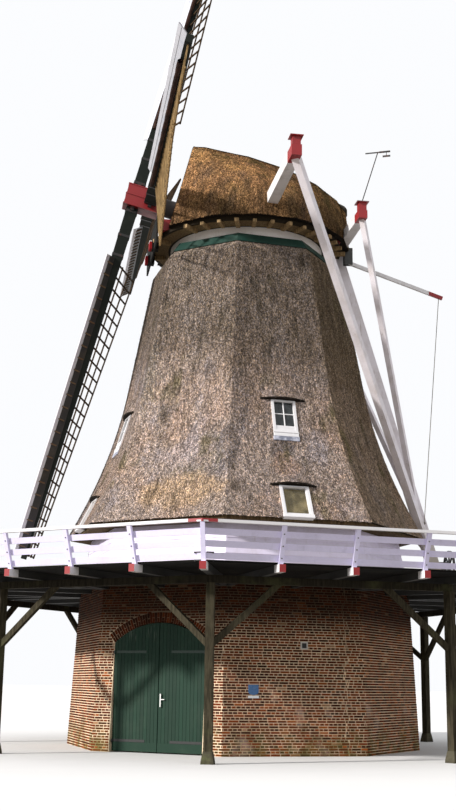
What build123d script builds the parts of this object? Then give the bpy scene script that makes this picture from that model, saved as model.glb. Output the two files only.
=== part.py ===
from build123d import *
from math import cos, hypot, radians, sin, sqrt, tan
import os

# A thatched stage mill on an octagonal brick base, in millimetres.
# The origin is on the ground under the tower's middle, the door faces -Y, and +Z is up.
# Side 0 of every octagon faces -Y, and the sides are counted anticlockwise from above.

# Octagon
sides = 8
half_side_angle = 180 / sides

# Brick base
base_radius = 4660
base_batter = 0.05
wall_thickness = 460
base_height = 4010
ground_floor_thickness = 60

# Doorway and doors
door_width = 2550
door_spring = 2550
door_rise = 470
leaf_face = 4200
leaf_thickness = 60
leaf_side_gap = 13
leaf_top_gap = 12
leaf_floor_gap = 30
leaf_meeting_gap = 8
pin_radius = 10
pin_from_jamb = 30
eye_wall = 12
pin_clearance = 0.3
strap_thickness = 8
strap_height = 60
strap_length = 900
strap_heights = (270, 2330)
handle_height = 300
handle_low = 1060
handle_inset = 90
handle_stand = 40
handle_width = 24

# Stage
post_ring_radius = 7260
post_width = 180
stone_width = 280
stone_height = 250
ring_beam_height = 160
ring_beam_width = 160
joist_width = 140
joist_height = 160
joist_bearing = 250
joist_overhang = 170
deck_radius = 8500
deck_thickness = 50
bays = 4
knee_width = 130
knee_thickness = 110
knee_foot_height = 2380
knee_reach = 1500

# Railing
rail_lean = 290
rail_height = 725
handrail_height = 60
handrail_width = 110
rail_post_width = 95
rail_post_depth = 75
rail_board_height = 125
rail_board_thickness = 26
rail_board_gap = 113
rail_board_lowest = 10
rail_boards = 3

# Boarded wall and thatched smock
board_wall_thickness = 110
board_wall_height = 1470
smock_height = 7690
thatch_top_radius = 2700
thatch_shoulder_drop = 170
thatch_roll = 150
thatch_taper = 0.185
flare_height = 4120
flare_out = 810
eave_board_thickness = 80
eave_board_inset = 110
upper_floor_rise = 1420
floor_thickness = 150
smock_low = base_height + board_wall_height
smock_high = smock_low + smock_height
thatch_shoulder = smock_high - thatch_shoulder_drop
flare_high = smock_low + flare_height
upper_floor_high = smock_low + upper_floor_rise

# Windows: how far above the thatch's low edge they start, their height and their width
lower_window_rise = 10
lower_window_height = 840
lower_window_width = 760
upper_window_rise = 2270
upper_window_height = 910
upper_window_width = 650
lower_window_low = smock_low + lower_window_rise
upper_window_low = smock_low + upper_window_rise
lower_window = (lower_window_low, lower_window_low + lower_window_height, lower_window_width)
upper_window = (upper_window_low, upper_window_low + upper_window_height, upper_window_width)
apron_height = 210
window_frame_face = 70
window_frame_depth = 120
window_proud = 30
glass_thickness = 6
eyebrow_width = 1200
eyebrow_out = 120
eyebrow_height = 620
eyebrow_root = 200

# Green band and round curb
band_low_radius = 2590
band_high_radius = 2390
band_height = 280
band_inner_radius = 2200
curb_outer_radius = 2180
curb_inner_radius = 2000
curb_height = 250
band_high = smock_high + band_height
curb_high = band_high + curb_height

# Cap: it faces along -Y before it is turned
cap_yaw = -52.5
turning_gap = 0.3
cap_ring_outer_radius = 2720
cap_ring_inner_radius = 2000
cap_ring_thickness = 100
cap_eave_radius = 2950
cap_thatch_thickness = 330
gable_foot = 2400
cap_stations = (
    (2500, curb_high + 3410), (1400, curb_high + 3150), (200, curb_high + 2850), (-900, curb_high + 2540),
    (-1800, curb_high + 2190), (-2500, curb_high + 1860), (-2880, curb_high + 1670),
)
cap_curve = ((0.95, 0.28), (0.76, 0.58), (0.42, 0.86))
ridge_cover_width = 620
ridge_cover_thickness = 60
ridge_cover_low = curb_high + 1300
cap_reach = 2 * cap_eave_radius
cap_ceiling = curb_high + cap_reach
rafter_feet = 12
rafter_foot_width = 110
rafter_foot_height = 100
rafter_foot_inner = 2350
rafter_foot_outer = 2850
front_board_thickness = 60
front_board_inset = 240
beard_along = 2740
beard_thickness = 45
beard_half = 1450
beard_low = curb_high - 340
beard_high = curb_high + 450
beard_beam_side = 600
beard_beam_width = 250
beard_beam_height = 240
beard_beam_middle = curb_high - 160
beard_beam_back = 2600
beard_beam_front = 2860

# Beams of the cap
sheer_side = 1100
sheer_width = 260
sheer_height = 320
sheer_front = 2650
long_sprit_along = -220
long_sprit_half = 5900
long_sprit_width = 320
long_sprit_height = 350
short_sprit_along = -2650
short_sprit_half = 3080
short_sprit_width = 300
short_sprit_height = 280
sprit_end_share = 0.8
sprit_cap_inset = 130
sprit_cap_width = 210
sprit_cap_height = 230
sprit_plate_width = 330
sprit_plate_thickness = 20
tail_top = (-2620, curb_high + 350)
tail_foot = (-5560, base_height + 340)
tail_width = 300
long_brace_width = 190
long_brace_end = 250
long_brace_foot = base_height + 1290
short_brace_width = 140
short_brace_end = 160
short_brace_foot = base_height + 2290

# Windshaft and sails
hub_along = 3245
hub_height = curb_high + 1471
shaft_tilt = 14.4
sail_turn = 4.6
shaft_radius = 260
shaft_length = 2600
gudgeon_radius = 100
gudgeon_length = 350
shaft_board_gap = 30
bearing_fit = 0.5
neck_back = 1650
neck_beam_width = 330
neck_half = 1300
tail_beam_back = 2800
tail_beam_width = 260
poll_width = 630
poll_front = 280
poll_back = 750
stock_spacing = 450
sail_length = 10700
stock_root_width = 300
stock_root_depth = 340
stock_tip_width = 170
stock_tip_depth = 150
bars = 25
bar_first = 1950
bar_last = 10560
bar_width = 42
bar_depth = 36
bar_out = 60
lattice_width = 1750
lattice_root_twist = 20
lattice_tip_twist = 6
hems = 3
hem_width = 50
hem_depth = 30
hem_back = 22
lead_board_width = 380
lead_board_let = 6
lead_board_thickness = 22
lead_board_tilt = 50
lead_board_first = 1900
cloth_radius = 62
cloth_first = 2100
cloth_last = 9900
cloth_gap = 0.5
cloth_front = 70

# Brake lever and its rope
lever_pivot = (-2990, curb_high - 210)
lever_tip = (-5730, curb_high - 1090)
lever_width = 80
lever_height = 100
lever_side = 420
lever_ear_width = 40
lever_ear_gap = 6
lever_pin_radius = 18
rope_radius = 10
rope_from_tip = 110
rope_foot = (-5100, base_height + 2040)
rope_foot_side = 205

# Winding wheel at the tail foot
wheel_height = base_height + 890
wheel_radius = 430
wheel_rim = 50
wheel_spokes = 8
wheel_spoke_width = 40
wheel_hub_radius = 80
wheel_thickness = 60
wheel_gap = 60
axle_radius = 35
block_width = 200
block_length = 200

# Vane on the short sprit
vane_rise = 1510
vane_lean = 470
vane_radius = 14
vane_half = 340
vane_skew = 24
vane_plate_length = 300
vane_plate_height = 50
vane_low_plate_length = 210
vane_plate_drop = 130
vane_plate_thickness = 14


def flat(corner_radius):
    """Distance from the axis to the middle of a side."""
    return corner_radius * cos(radians(half_side_angle))


def inward(corner_radius, thickness):
    """Corner radius of a wall's inner face."""
    return corner_radius - thickness / cos(radians(half_side_angle))


def side_turn(k):
    return Rot(0, 0, k * 360 / sides)


def corner_turn(k):
    return Rot(0, 0, (k + 0.5) * 360 / sides)


# The upright plane through the middle of side 0: x runs outward, y runs up.
outward_plane = Plane(origin=(0, 0, 0), x_dir=(0, -1, 0), z_dir=(-1, 0, 0))


def outline(*points):
    """A closed outline in the outward plane, from pairs of corner radius and height."""
    return make_face(Polyline(*[(flat(radius), height) for radius, height in points], close=True))


def wedge(reach, low, high, inset=0):
    """The slice of the octagon that belongs to side 0, its cheeks moved in by the inset."""
    apex = inset / sin(radians(half_side_angle))
    half = (reach - apex) * tan(radians(half_side_angle))
    plan = make_face(Polyline((0, -apex), (-half, -reach), (half, -reach), close=True))
    return extrude(Pos(0, 0, low) * plan, amount=high - low)


def ring_side(face, inset=0):
    """One mitred side of an octagonal ring, from its section in the outward plane."""
    box = face.bounding_box()
    reach = box.max.X + 10
    bar = extrude(outward_plane * face, amount=reach, both=True)
    return (bar & wedge(reach, box.min.Y - 10, box.max.Y + 10, inset)).solid()


def all_sides(solid, numbers=range(sides)):
    return [side_turn(k) * solid for k in numbers]


def all_corners(solid):
    return [corner_turn(k) * solid for k in range(sides)]


def block(x, y, z):
    """A box between three pairs of limits."""
    size = [high - low for low, high in (x, y, z)]
    middle = [(high + low) / 2 for low, high in (x, y, z)]
    return Pos(*middle) * Box(*size)


def beam(start, end, width, depth, across=None, end_share=1.0):
    """A straight timber from start to end, its width along the across direction."""
    start, end = Vector(*start), Vector(*end)
    line = end - start
    across = Vector(*across) if across else Vector(0, 0, 1).cross(line).normalized()
    near = Plane(origin=start, x_dir=across, z_dir=line) * Rectangle(width, depth)
    if end_share == 1.0:
        return extrude(near, amount=line.length).solid()
    far = Plane(origin=end, x_dir=across, z_dir=line) * Rectangle(width * end_share, depth * end_share)
    return loft([near, far]).solid()


def largest(shape):
    return max(shape.solids(), key=lambda solid: solid.volume)


nodes = {}


def add(name, *solids):
    nodes[name] = list(solids)


# Heights that follow from the sizes above
deck_low = base_height
deck_high = deck_low + deck_thickness
joist_low = deck_low - joist_height
ring_beam_low = joist_low - ring_beam_height
base_top_radius = base_radius - base_batter * base_height
frame_taper = (inward(base_top_radius, board_wall_thickness) - band_inner_radius) / (smock_high - base_height)
door_half = door_width / 2


def frame_radius(height):
    """Corner radius of the boarded frame's outer face."""
    return base_top_radius - frame_taper * (height - base_height)


def frame_inner_radius(height):
    return inward(frame_radius(height), board_wall_thickness)


def thatch_radius(height):
    """Corner radius of the thatch's outer face: straight above, flared below."""
    straight = thatch_top_radius + thatch_taper * (thatch_shoulder - height)
    share = max(0, (flare_high - height) / (flare_high - smock_low))
    return straight + flare_out * share**2


# Joists: three to a side between the corner ones
side_length = 2 * deck_radius * sin(radians(half_side_angle))
bay = side_length / bays
joist_out = flat(deck_radius) + joist_overhang
joist_in = flat(base_top_radius) - joist_bearing


def side_joist(across):
    bar = block(
        (across - joist_width / 2, across + joist_width / 2),
        (-joist_out, -joist_in), (joist_low, deck_low),
    )
    return (bar & wedge(joist_out + 10, joist_low - 10, deck_low + 10, joist_width / 2)).solid()


corner_joist = block(
    (-joist_width / 2, joist_width / 2),
    (-deck_radius - joist_overhang, -base_top_radius + joist_bearing), (joist_low, deck_low),
)
inner_joists = [side_joist(bay * (n - bays / 2)) for n in range(1, bays)]
joists_of_side = inner_joists + [corner_turn(0) * corner_joist, corner_turn(-1) * corner_joist]


# Brick base
def base_wall_side():
    inner = wall_thickness
    section = outline(
        (base_radius, 0), (base_top_radius, base_height),
        (inward(base_top_radius, inner), base_height), (inward(base_radius, inner), 0),
    )
    wall = ring_side(section)
    for joist in joists_of_side:
        wall = wall - joist
    return wall.solid()


def door_shape(half_width, low, spring, rise):
    """The arched outline of the doorway, in the plane of the door."""
    edges = [
        Line((-half_width, spring), (-half_width, low)),
        Line((-half_width, low), (half_width, low)),
        Line((half_width, low), (half_width, spring)),
        ThreePointArc((half_width, spring), (0, spring + rise), (-half_width, spring)),
    ]
    return Plane.XZ * make_face(edges)


def build_base():
    wall = base_wall_side()
    reach = base_radius + 100
    doorway = extrude(door_shape(door_half, -10, door_spring, door_rise), amount=reach)
    middle = block((-door_half, door_half), (-reach, 0), (-10, base_height + 10))
    left = block((-reach, -door_half), (-reach, 0), (-10, base_height + 10))
    right = block((door_half, reach), (-reach, 0), (-10, base_height + 10))
    add("base_wall_left_of_door", largest(wall & left))
    add("base_wall_right_of_door", largest(wall & right))
    add("base_wall_door_arch", largest((wall & middle) - doorway))
    add("base_walls_diagonal", *all_sides(wall, (1, 3, 5, 7)))
    add("base_walls_straight", *all_sides(wall, (2, 4, 6)))


def octagon_slab(corner_radius, low, high):
    plan = Polyline(*[
        (corner_radius * sin(radians((k + 0.5) * 360 / sides)),
         -corner_radius * cos(radians((k + 0.5) * 360 / sides)))
        for k in range(sides)
    ], close=True)
    return extrude(Pos(0, 0, low) * make_face(plan), amount=high - low).solid()


def build_floors():
    floor_radius = inward(base_radius - base_batter * ground_floor_thickness, wall_thickness)
    add("ground_floor", octagon_slab(floor_radius, 0, ground_floor_thickness))
    floor_radius = inward(base_top_radius, wall_thickness)
    add("stage_level_floor", octagon_slab(floor_radius, base_height - floor_thickness, base_height))
    add("upper_floor", octagon_slab(frame_inner_radius(upper_floor_high),
                                    upper_floor_high - floor_thickness, upper_floor_high))


# Doors: each leaf hangs on two pins in front of its face
pin_x = door_half - pin_from_jamb
eye_radius = pin_radius + pin_clearance + eye_wall
pin_y = -(leaf_face + strap_thickness / 4 + eye_radius)


def build_door(side, name):
    shape = door_shape(door_half - leaf_side_gap, leaf_floor_gap, door_spring, door_rise - leaf_top_gap)
    shape = Pos(0, 0, -leaf_top_gap * 0.2) * shape
    slab = extrude(Pos(0, -leaf_face + leaf_thickness, 0) * shape, amount=leaf_thickness)
    keep = block((leaf_meeting_gap, door_half), (-leaf_face - 100, 0), (leaf_floor_gap, base_height))
    leaf = largest(slab & keep)
    irons = []
    pins = []
    for height in strap_heights:
        low, high = height - strap_height / 2, height + strap_height / 2
        strap = block((pin_x - strap_length, pin_x), (-leaf_face - strap_thickness, -leaf_face), (low, high))
        eye = Pos(pin_x, pin_y, height) * Cylinder(eye_radius, strap_height)
        bore = Pos(pin_x, pin_y, height) * Cylinder(pin_radius + pin_clearance, strap_height + 10)
        irons.append((strap + eye - bore).solid())
        pin = Pos(pin_x, pin_y, height) * Cylinder(pin_radius, strap_height)
        arm = block((pin_x - pin_radius, door_half), (pin_y - pin_radius, pin_y + pin_radius),
                    (low - pin_clearance - 2 * pin_radius, low - pin_clearance))
        stub = Pos(pin_x, pin_y, low - pin_clearance / 2) * Cylinder(pin_radius, pin_clearance)
        pins.append((pin + stub + arm).solid())
    if side > 0:
        grip_y = -leaf_face - handle_stand
        grip = block((handle_inset - handle_width / 2, handle_inset + handle_width / 2),
                     (grip_y - handle_width / 2, grip_y + handle_width / 2),
                     (handle_low, handle_low + handle_height))
        feet = [
            block((handle_inset - handle_width / 2, handle_inset + handle_width / 2),
                  (grip_y, -leaf_face), (at, at + handle_width))
            for at in (handle_low, handle_low + handle_height - handle_width)
        ]
        irons.append((grip + feet[0] + feet[1]).solid())
    pieces = [[leaf], irons, pins]
    if side < 0:
        pieces = [[mirror(solid, about=Plane.YZ).solid() for solid in group] for group in pieces]
    add(name + "_leaf", *pieces[0])
    add(name + "_irons", *pieces[1])
    return pieces[2]


def build_doors():
    pins = build_door(1, "right_door") + build_door(-1, "left_door")
    add("door_pins", *pins)


# Stage
def build_stage():
    stone = Pos(0, -post_ring_radius, stone_height / 2) * Box(stone_width, stone_width, stone_height)
    post = block(
        (-post_width / 2, post_width / 2),
        (-post_ring_radius - post_width / 2, -post_ring_radius + post_width / 2),
        (stone_height, ring_beam_low),
    )
    add("stage_stones", *all_corners(stone))
    add("stage_posts", *all_corners(post))
    half_width = ring_beam_width / 2 / cos(radians(half_side_angle))
    ring_section = outline(
        (post_ring_radius - half_width, ring_beam_low), (post_ring_radius + half_width, ring_beam_low),
        (post_ring_radius + half_width, joist_low), (post_ring_radius - half_width, joist_low),
    )
    add("stage_ring_beams", *all_sides(ring_side(ring_section)))
    post_across = post_ring_radius * sin(radians(half_side_angle))
    knees = []
    for hand in (-1, 1):
        foot = (hand * post_across, -flat(post_ring_radius), knee_foot_height)
        head = (hand * (post_across - knee_reach), -flat(post_ring_radius), ring_beam_low)
        stretch = knee_width / hypot(knee_reach, ring_beam_low - knee_foot_height)
        over = [h + (h - f) * stretch for f, h in zip(foot, head)]
        knee = beam(foot, over, knee_thickness, knee_width, across=(0, 1, 0))
        room = block((-post_across, post_across), (-deck_radius, 0), (0, ring_beam_low))
        knee = (knee & room) - corner_turn(0 if hand > 0 else -1) * post
        knees.append(largest(knee))
    add("stage_knee_braces", *[turned for knee in knees for turned in all_sides(knee)])
    joists = [turned for joist in inner_joists for turned in all_sides(joist)]
    add("stage_joists", *joists, *all_corners(corner_joist))
    deck_section = outline(
        (base_top_radius, deck_low), (deck_radius, deck_low), (deck_radius, deck_high), (base_top_radius, deck_high),
    )
    add("stage_deck", *all_sides(ring_side(deck_section)))


# Railing: it leans outward, with its boards on the inner face of the posts
rail_foot_radius = deck_radius
rail_head_radius = deck_radius + rail_lean
rail_high = deck_high + rail_height


def rail_radius(height):
    share = (height - deck_low) / (rail_high - deck_low)
    return rail_foot_radius + rail_lean * share


def build_railing():
    def post_outline(near, far):
        return make_face(Polyline(
            (near, deck_low), (near + rail_post_depth, deck_low),
            (far + rail_post_depth, rail_high), (far, rail_high), close=True,
        ))

    side_post = extrude(outward_plane * post_outline(flat(rail_foot_radius), flat(rail_head_radius)),
                        amount=rail_post_width / 2, both=True).solid()
    corner_post = extrude(outward_plane * post_outline(rail_foot_radius, rail_head_radius),
                          amount=rail_post_width / 2, both=True).solid()
    posts = [turned for n in range(1, bays) for turned in all_sides(Pos(bay * (n - bays / 2), 0, 0) * side_post)]
    add("railing_posts", *posts, *all_corners(corner_post))
    middle = rail_head_radius + rail_post_depth / 2
    half = handrail_width / 2 / cos(radians(half_side_angle))
    handrail = outline(
        (middle - half, rail_high), (middle + half, rail_high),
        (middle + half, rail_high + handrail_height), (middle - half, rail_high + handrail_height),
    )
    add("railing_handrails", *all_sides(ring_side(handrail)))
    boards = []
    for n in range(rail_boards):
        low = deck_high + rail_board_lowest + n * (rail_board_height + rail_board_gap)
        high = low + rail_board_height
        board = outline(
            (rail_radius(low), low), (rail_radius(high), high),
            (inward(rail_radius(high), rail_board_thickness), high),
            (inward(rail_radius(low), rail_board_thickness), low),
        )
        boards.extend(all_sides(ring_side(board)))
    add("railing_boards", *boards)


# Boarded wall and smock
def build_boarded_wall():
    section = outline(
        (frame_radius(base_height), base_height), (frame_radius(smock_low), smock_low),
        (frame_inner_radius(smock_low), smock_low), (frame_inner_radius(base_height), base_height),
    )
    add("boarded_wall", *all_sides(ring_side(section)))
    board_low = smock_low - eave_board_thickness
    board_out = thatch_radius(smock_low) - eave_board_inset
    section = outline(
        (frame_radius(board_low), board_low), (board_out, board_low),
        (board_out, smock_low), (frame_radius(smock_low), smock_low),
    )
    add("thatch_edge_board", *all_sides(ring_side(section)))


def smock_section():
    """The thatch's section: straight from the shoulder to the flare, then a parabola to the edge."""
    flare_middle = (flare_high + smock_low) / 2
    straight = thatch_top_radius + thatch_taper * (thatch_shoulder - flare_middle)
    at = lambda radius, height: (flat(radius), height)
    inner_low = at(frame_inner_radius(smock_low), smock_low)
    inner_high = at(band_inner_radius, smock_high)
    edge = at(thatch_radius(smock_low), smock_low)
    flare = at(thatch_radius(flare_high), flare_high)
    shoulder = at(thatch_top_radius, thatch_shoulder)
    top = at(thatch_top_radius - thatch_roll, smock_high)
    edges = [
        Line(inner_low, edge),
        Bezier(edge, at(straight, flare_middle), flare),
        Line(flare, shoulder),
        Line(shoulder, top),
        Line(top, inner_high),
        Line(inner_high, inner_low),
    ]
    return make_face(edges)


def window_plane(window):
    """The plane of a window on side 0: x across, y up the thatch, z out of it, origin at the low edge."""
    low, high, _ = window
    foot = Vector(0, -flat(thatch_radius(low)), low)
    head = Vector(0, -flat(thatch_radius(high)), high)
    up = (head - foot).normalized()
    return Plane(origin=foot, x_dir=(1, 0, 0), z_dir=Vector(1, 0, 0).cross(up))


def window_length(window):
    low, high, _ = window
    return hypot(high - low, flat(thatch_radius(low)) - flat(thatch_radius(high)))


def in_plane(plane, x, y, z):
    return plane.location * block(x, y, z)


def eyebrow(window):
    """The thatch raised over a window's head."""
    plane = window_plane(window)
    length = window_length(window)

    def section(width, out, at):
        half = width / 2
        arc = ThreePointArc((half, 0), (0, out), (-half, 0))
        back = Polyline((-half, 0), (-half, -eyebrow_root), (half, -eyebrow_root), (half, 0))
        level = Plane(origin=plane.from_local_coords((0, at, 0)), x_dir=(1, 0, 0), z_dir=plane.y_dir * -1)
        return level * make_face([*arc.edges(), *back.edges()])

    low = section(eyebrow_width, eyebrow_out, length)
    high = section(eyebrow_width / 2, eyebrow_out / 20, length + eyebrow_height)
    return loft([low, high]).solid()


def build_smock():
    plain = ring_side(smock_section())
    with_windows = plain
    frames, panes, aprons = [], [], []
    for window in (lower_window, upper_window):
        plane, length = window_plane(window), window_length(window)
        half = window[2] / 2
        below = apron_height if window is upper_window else 0
        depth = (window_proud - window_frame_depth, window_proud)
        hole_foot = -below if below else -eave_board_thickness
        with_windows = with_windows + eyebrow(window)
        with_windows = with_windows - in_plane(plane, (-half, half), (hole_foot, length), (-2000, 400))
        inner = half - window_frame_face
        frame = in_plane(plane, (-half, half), (0, length), depth)
        light = ((-inner, inner), (window_frame_face, length - window_frame_face))
        frames.append((frame - in_plane(plane, *light, (-2000, 400))).solid())
        middle = window_proud - window_frame_depth / 2
        panes.append(in_plane(plane, *light, (middle, middle + glass_thickness)).solid())
        if below:
            aprons.append(in_plane(plane, (-half, half), (-below, 0), depth).solid())
    add("thatch_window_sides", *all_sides(largest(with_windows), (1, 3, 5, 7)))
    add("thatch_plain_sides", *all_sides(plain, (0, 2, 4, 6)))
    spread = lambda solids: [turned for solid in solids for turned in all_sides(solid, (1, 3, 5, 7))]
    add("window_frames", *spread(frames))
    add("window_glass", *spread(panes))
    add("window_aprons", *spread(aprons))


def build_band():
    section = outline(
        (band_inner_radius, smock_high), (band_low_radius, smock_high),
        (band_high_radius, band_high), (band_inner_radius, band_high),
    )
    add("green_band", *all_sides(ring_side(section)))
    ring = Pos(0, 0, band_high) * (Circle(curb_outer_radius) - Circle(curb_inner_radius))
    add("curb_ring", extrude(ring, amount=curb_high - band_high).solid())


# Cap, built facing along -Y and then turned
cap_turn = Rot(0, 0, cap_yaw)
cap_ring_low = curb_high + turning_gap
cap_low = cap_ring_low + cap_ring_thickness
sheer_high = cap_low + sheer_height
forward = Vector(0, -cos(radians(shaft_tilt)), sin(radians(shaft_tilt)))
hub = Vector(0, -hub_along, hub_height)


def place(along, side, height):
    return (side, -along, height)


def add_cap(name, *solids):
    add(name, *[cap_turn * solid for solid in solids])


def cap_body(inset):
    """The cap's solid form, with its skin moved in by the inset."""
    sections = []
    for along, ridge in cap_stations:
        shift = inset if along < cap_stations[-2][0] else 0
        here = along + shift
        width = sqrt(cap_eave_radius**2 - along**2) - inset
        if width < 100:
            width = 100
        rise = ridge - inset - cap_low
        right = [(width, 0)] + [(width * w, rise * h) for w, h in cap_curve] + [(0, rise)]
        left = [(-x, y) for x, y in reversed(right)]
        curve = [Spline(*right, tangents=[(0, 1), (-0.8, 0.6)]), Spline(*left, tangents=[(-0.8, -0.6), (0, -1)])]
        level = Plane(origin=(0, -here, cap_low), x_dir=(1, 0, 0), z_dir=(0, -1, 0))
        sections.append(level * make_face([*curve, Line((-width, 0), (width, 0))]))
    return loft(sections, ruled=True).solid()


def gable_cut(back):
    """Everything in front of the gable, which leans back like the sails."""
    origin = Vector(*place(gable_foot, 0, cap_low)) - forward * back
    return extrude(Plane(origin=origin, x_dir=(1, 0, 0), z_dir=forward) * Rectangle(2 * cap_reach, 2 * cap_reach),
                   amount=cap_reach)


def long_sprit_solid():
    middle = sheer_high + long_sprit_height / 2
    halves = [
        beam(place(long_sprit_along, 0, middle), place(long_sprit_along, hand * long_sprit_half, middle),
             long_sprit_width, long_sprit_height, across=(0, 1, 0), end_share=sprit_end_share)
        for hand in (-1, 1)
    ]
    return (halves[0] + halves[1]).solid()


def short_sprit_solid():
    middle = cap_low + short_sprit_height / 2
    halves = [
        beam(place(short_sprit_along, 0, middle), place(short_sprit_along, hand * short_sprit_half, middle),
             short_sprit_width, short_sprit_height, across=(0, 1, 0), end_share=sprit_end_share)
        for hand in (-1, 1)
    ]
    return (halves[0] + halves[1]).solid()


def sprit_cap_solids(long_sprit, short_sprit):
    """A block with a wider plate on top of every end of the two sprits."""
    solids = []
    ends = (
        (long_sprit, long_sprit_along, long_sprit_half, sheer_high + long_sprit_height * 0.5),
        (short_sprit, short_sprit_along, short_sprit_half, cap_low + short_sprit_height * 0.5),
    )
    for sprit, along, half, middle in ends:
        top = middle + (middle - sheer_high if sprit is long_sprit else middle - cap_low) * sprit_end_share
        for hand in (-1, 1):
            side = hand * (half - sprit_cap_inset)
            post = block((side - sprit_cap_width / 2, side + sprit_cap_width / 2),
                         (-along - sprit_cap_width / 2, -along + sprit_cap_width / 2),
                         (middle, top + sprit_cap_height))
            plate = block((side - sprit_plate_width / 2, side + sprit_plate_width / 2),
                          (-along - sprit_plate_width / 2, -along + sprit_plate_width / 2),
                          (top + sprit_cap_height, top + sprit_cap_height + sprit_plate_thickness))
            solids.append(largest((post + plate) - sprit))
    return solids


def beard_solid(timbers):
    """The board across the cap's front, with two short beam ends that come through it."""
    board = block((-beard_half, beard_half), (-beard_along, -beard_along + beard_thickness), (beard_low, beard_high))
    whole = board
    low, high = beard_beam_middle - beard_beam_height / 2, beard_beam_middle + beard_beam_height / 2
    for hand in (-1, 1):
        side = hand * beard_beam_side
        whole = whole + block((side - beard_beam_width / 2, side + beard_beam_width / 2),
                              (-beard_beam_front, -beard_beam_back), (low, high))
    for timber in timbers:
        whole = whole - timber
    return largest(whole)


def tail_at(height):
    share = (tail_top[1] - height) / (tail_top[1] - tail_foot[1])
    return tail_top[0] + share * (tail_foot[0] - tail_top[0])


def sheer_solid(hand):
    side = hand * sheer_side
    back = short_sprit_along + short_sprit_width / 2
    return block((side - sheer_width / 2, side + sheer_width / 2), (-sheer_front, -back), (cap_low, sheer_high))


def shaft_point(back):
    return hub - forward * back


def build_cap():
    long_sprit, short_sprit = long_sprit_solid(), short_sprit_solid()
    tail = beam(place(tail_top[0], 0, tail_top[1]), place(tail_foot[0], 0, tail_foot[1]),
                tail_width, tail_width, across=(1, 0, 0))
    ring = Pos(0, 0, cap_ring_low) * (Circle(cap_ring_outer_radius) - Circle(cap_ring_inner_radius))
    ring = extrude(ring, amount=cap_ring_thickness).solid()
    over_tail = block((-tail_width, tail_width), (0, cap_eave_radius * 2), (cap_low, cap_low + 2000))
    tail = largest(tail - over_tail - ring)
    sheers = [sheer_solid(-1), sheer_solid(1)]
    body = cap_body(0)
    room = cap_body(cap_thatch_thickness)
    shell = body - room - gable_cut(0)
    ears = lever_ears_solid(short_sprit)
    for timber in (long_sprit, short_sprit, tail, ears, *sheers):
        shell = shell - timber
    right = block((0, cap_reach), (-cap_reach, cap_reach), (cap_low - 10, cap_ceiling))
    left = block((-cap_reach, 0), (-cap_reach, cap_reach), (cap_low - 10, cap_ceiling))
    add_cap("cap_thatch_right", largest(shell & right))
    add_cap("cap_thatch_left", largest(shell & left))
    cover = cap_body(-ridge_cover_thickness) - body - gable_cut(0)
    half = ridge_cover_width / 2
    middle = block((-half, half), (-cap_reach, cap_reach), (ridge_cover_low, cap_ceiling))
    add_cap("cap_ridge_cover", largest(cover & middle))
    boards = (room - gable_cut(front_board_inset)) & gable_cut(front_board_inset + front_board_thickness)
    hole = Plane(origin=shaft_point(0), x_dir=(1, 0, 0), z_dir=forward * -1) * Circle(shaft_radius + shaft_board_gap)
    boards = boards - extrude(hole, amount=3000)
    for timber in sheers:
        boards = boards - timber
    add_cap("cap_front_boards", largest(boards))
    add_cap("cap_turning_ring", ring)
    add_cap("cap_sheers", *sheers)
    foot = block(
        (-rafter_foot_width / 2, rafter_foot_width / 2), (-rafter_foot_outer, -rafter_foot_inner),
        (cap_ring_low - rafter_foot_height, cap_ring_low),
    )
    feet = [Rot(0, 0, n * 360 / rafter_feet + 15) * foot for n in range(rafter_feet)]
    add_cap("cap_rafter_feet", *feet)
    add_cap("cap_beard", beard_solid((ring, *sheers, *feet)))
    add_cap("long_sprit", long_sprit)
    add_cap("short_sprit", short_sprit)
    add_cap("sprit_caps", *sprit_cap_solids(long_sprit, short_sprit))
    add_cap("tail_pole", tail)
    build_braces(long_sprit, short_sprit, tail)
    build_bearings()
    add_cap("brake_lever_ears", ears)
    build_lever()
    build_vane()
    build_wheel(tail)


def build_braces(long_sprit, short_sprit, tail):
    def pair(along, head_height, half, foot_height, width):
        braces = []
        for hand in (-1, 1):
            head = place(along, hand * half, head_height)
            foot = place(tail_at(foot_height), 0, foot_height)
            braces.append(beam(head, foot, width, width))
        return braces

    long_head = sheer_high + long_sprit_height / 2
    long = pair(long_sprit_along, long_head, long_sprit_half - long_brace_end, long_brace_foot, long_brace_width)
    short_head = cap_low + short_sprit_height / 2
    short = pair(short_sprit_along, short_head, short_sprit_half - short_brace_end, short_brace_foot,
                 short_brace_width)
    braces = [largest(brace - long_sprit - tail) for brace in long]
    add_cap("tail_braces", *braces, *[largest(brace - short_sprit - tail) for brace in short])


def shaft_solid(extra=0):
    """The windshaft from the back of the poll end to its tail gudgeon."""
    start = Plane(origin=shaft_point(poll_back), x_dir=(1, 0, 0), z_dir=forward * -1)
    body = extrude(start * Circle(shaft_radius + extra), amount=shaft_length - poll_back)
    end = Plane(origin=shaft_point(shaft_length), x_dir=(1, 0, 0), z_dir=forward * -1)
    return (body + extrude(end * Circle(gudgeon_radius + extra), amount=gudgeon_length)).solid()


def build_bearings():
    shaft = shaft_solid(bearing_fit)
    neck, tail = shaft_point(neck_back), shaft_point(tail_beam_back)
    neck_beam = block((-neck_half, neck_half), (neck.Y - neck_beam_width / 2, neck.Y + neck_beam_width / 2),
                      (sheer_high, neck.Z - shaft_radius / 2))
    tail_beam = block((-neck_half, neck_half), (tail.Y - tail_beam_width / 2, tail.Y + tail_beam_width / 2),
                      (sheer_high, tail.Z))
    add_cap("bearing_beams", largest(neck_beam - shaft), largest(tail_beam - shaft))


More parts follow.
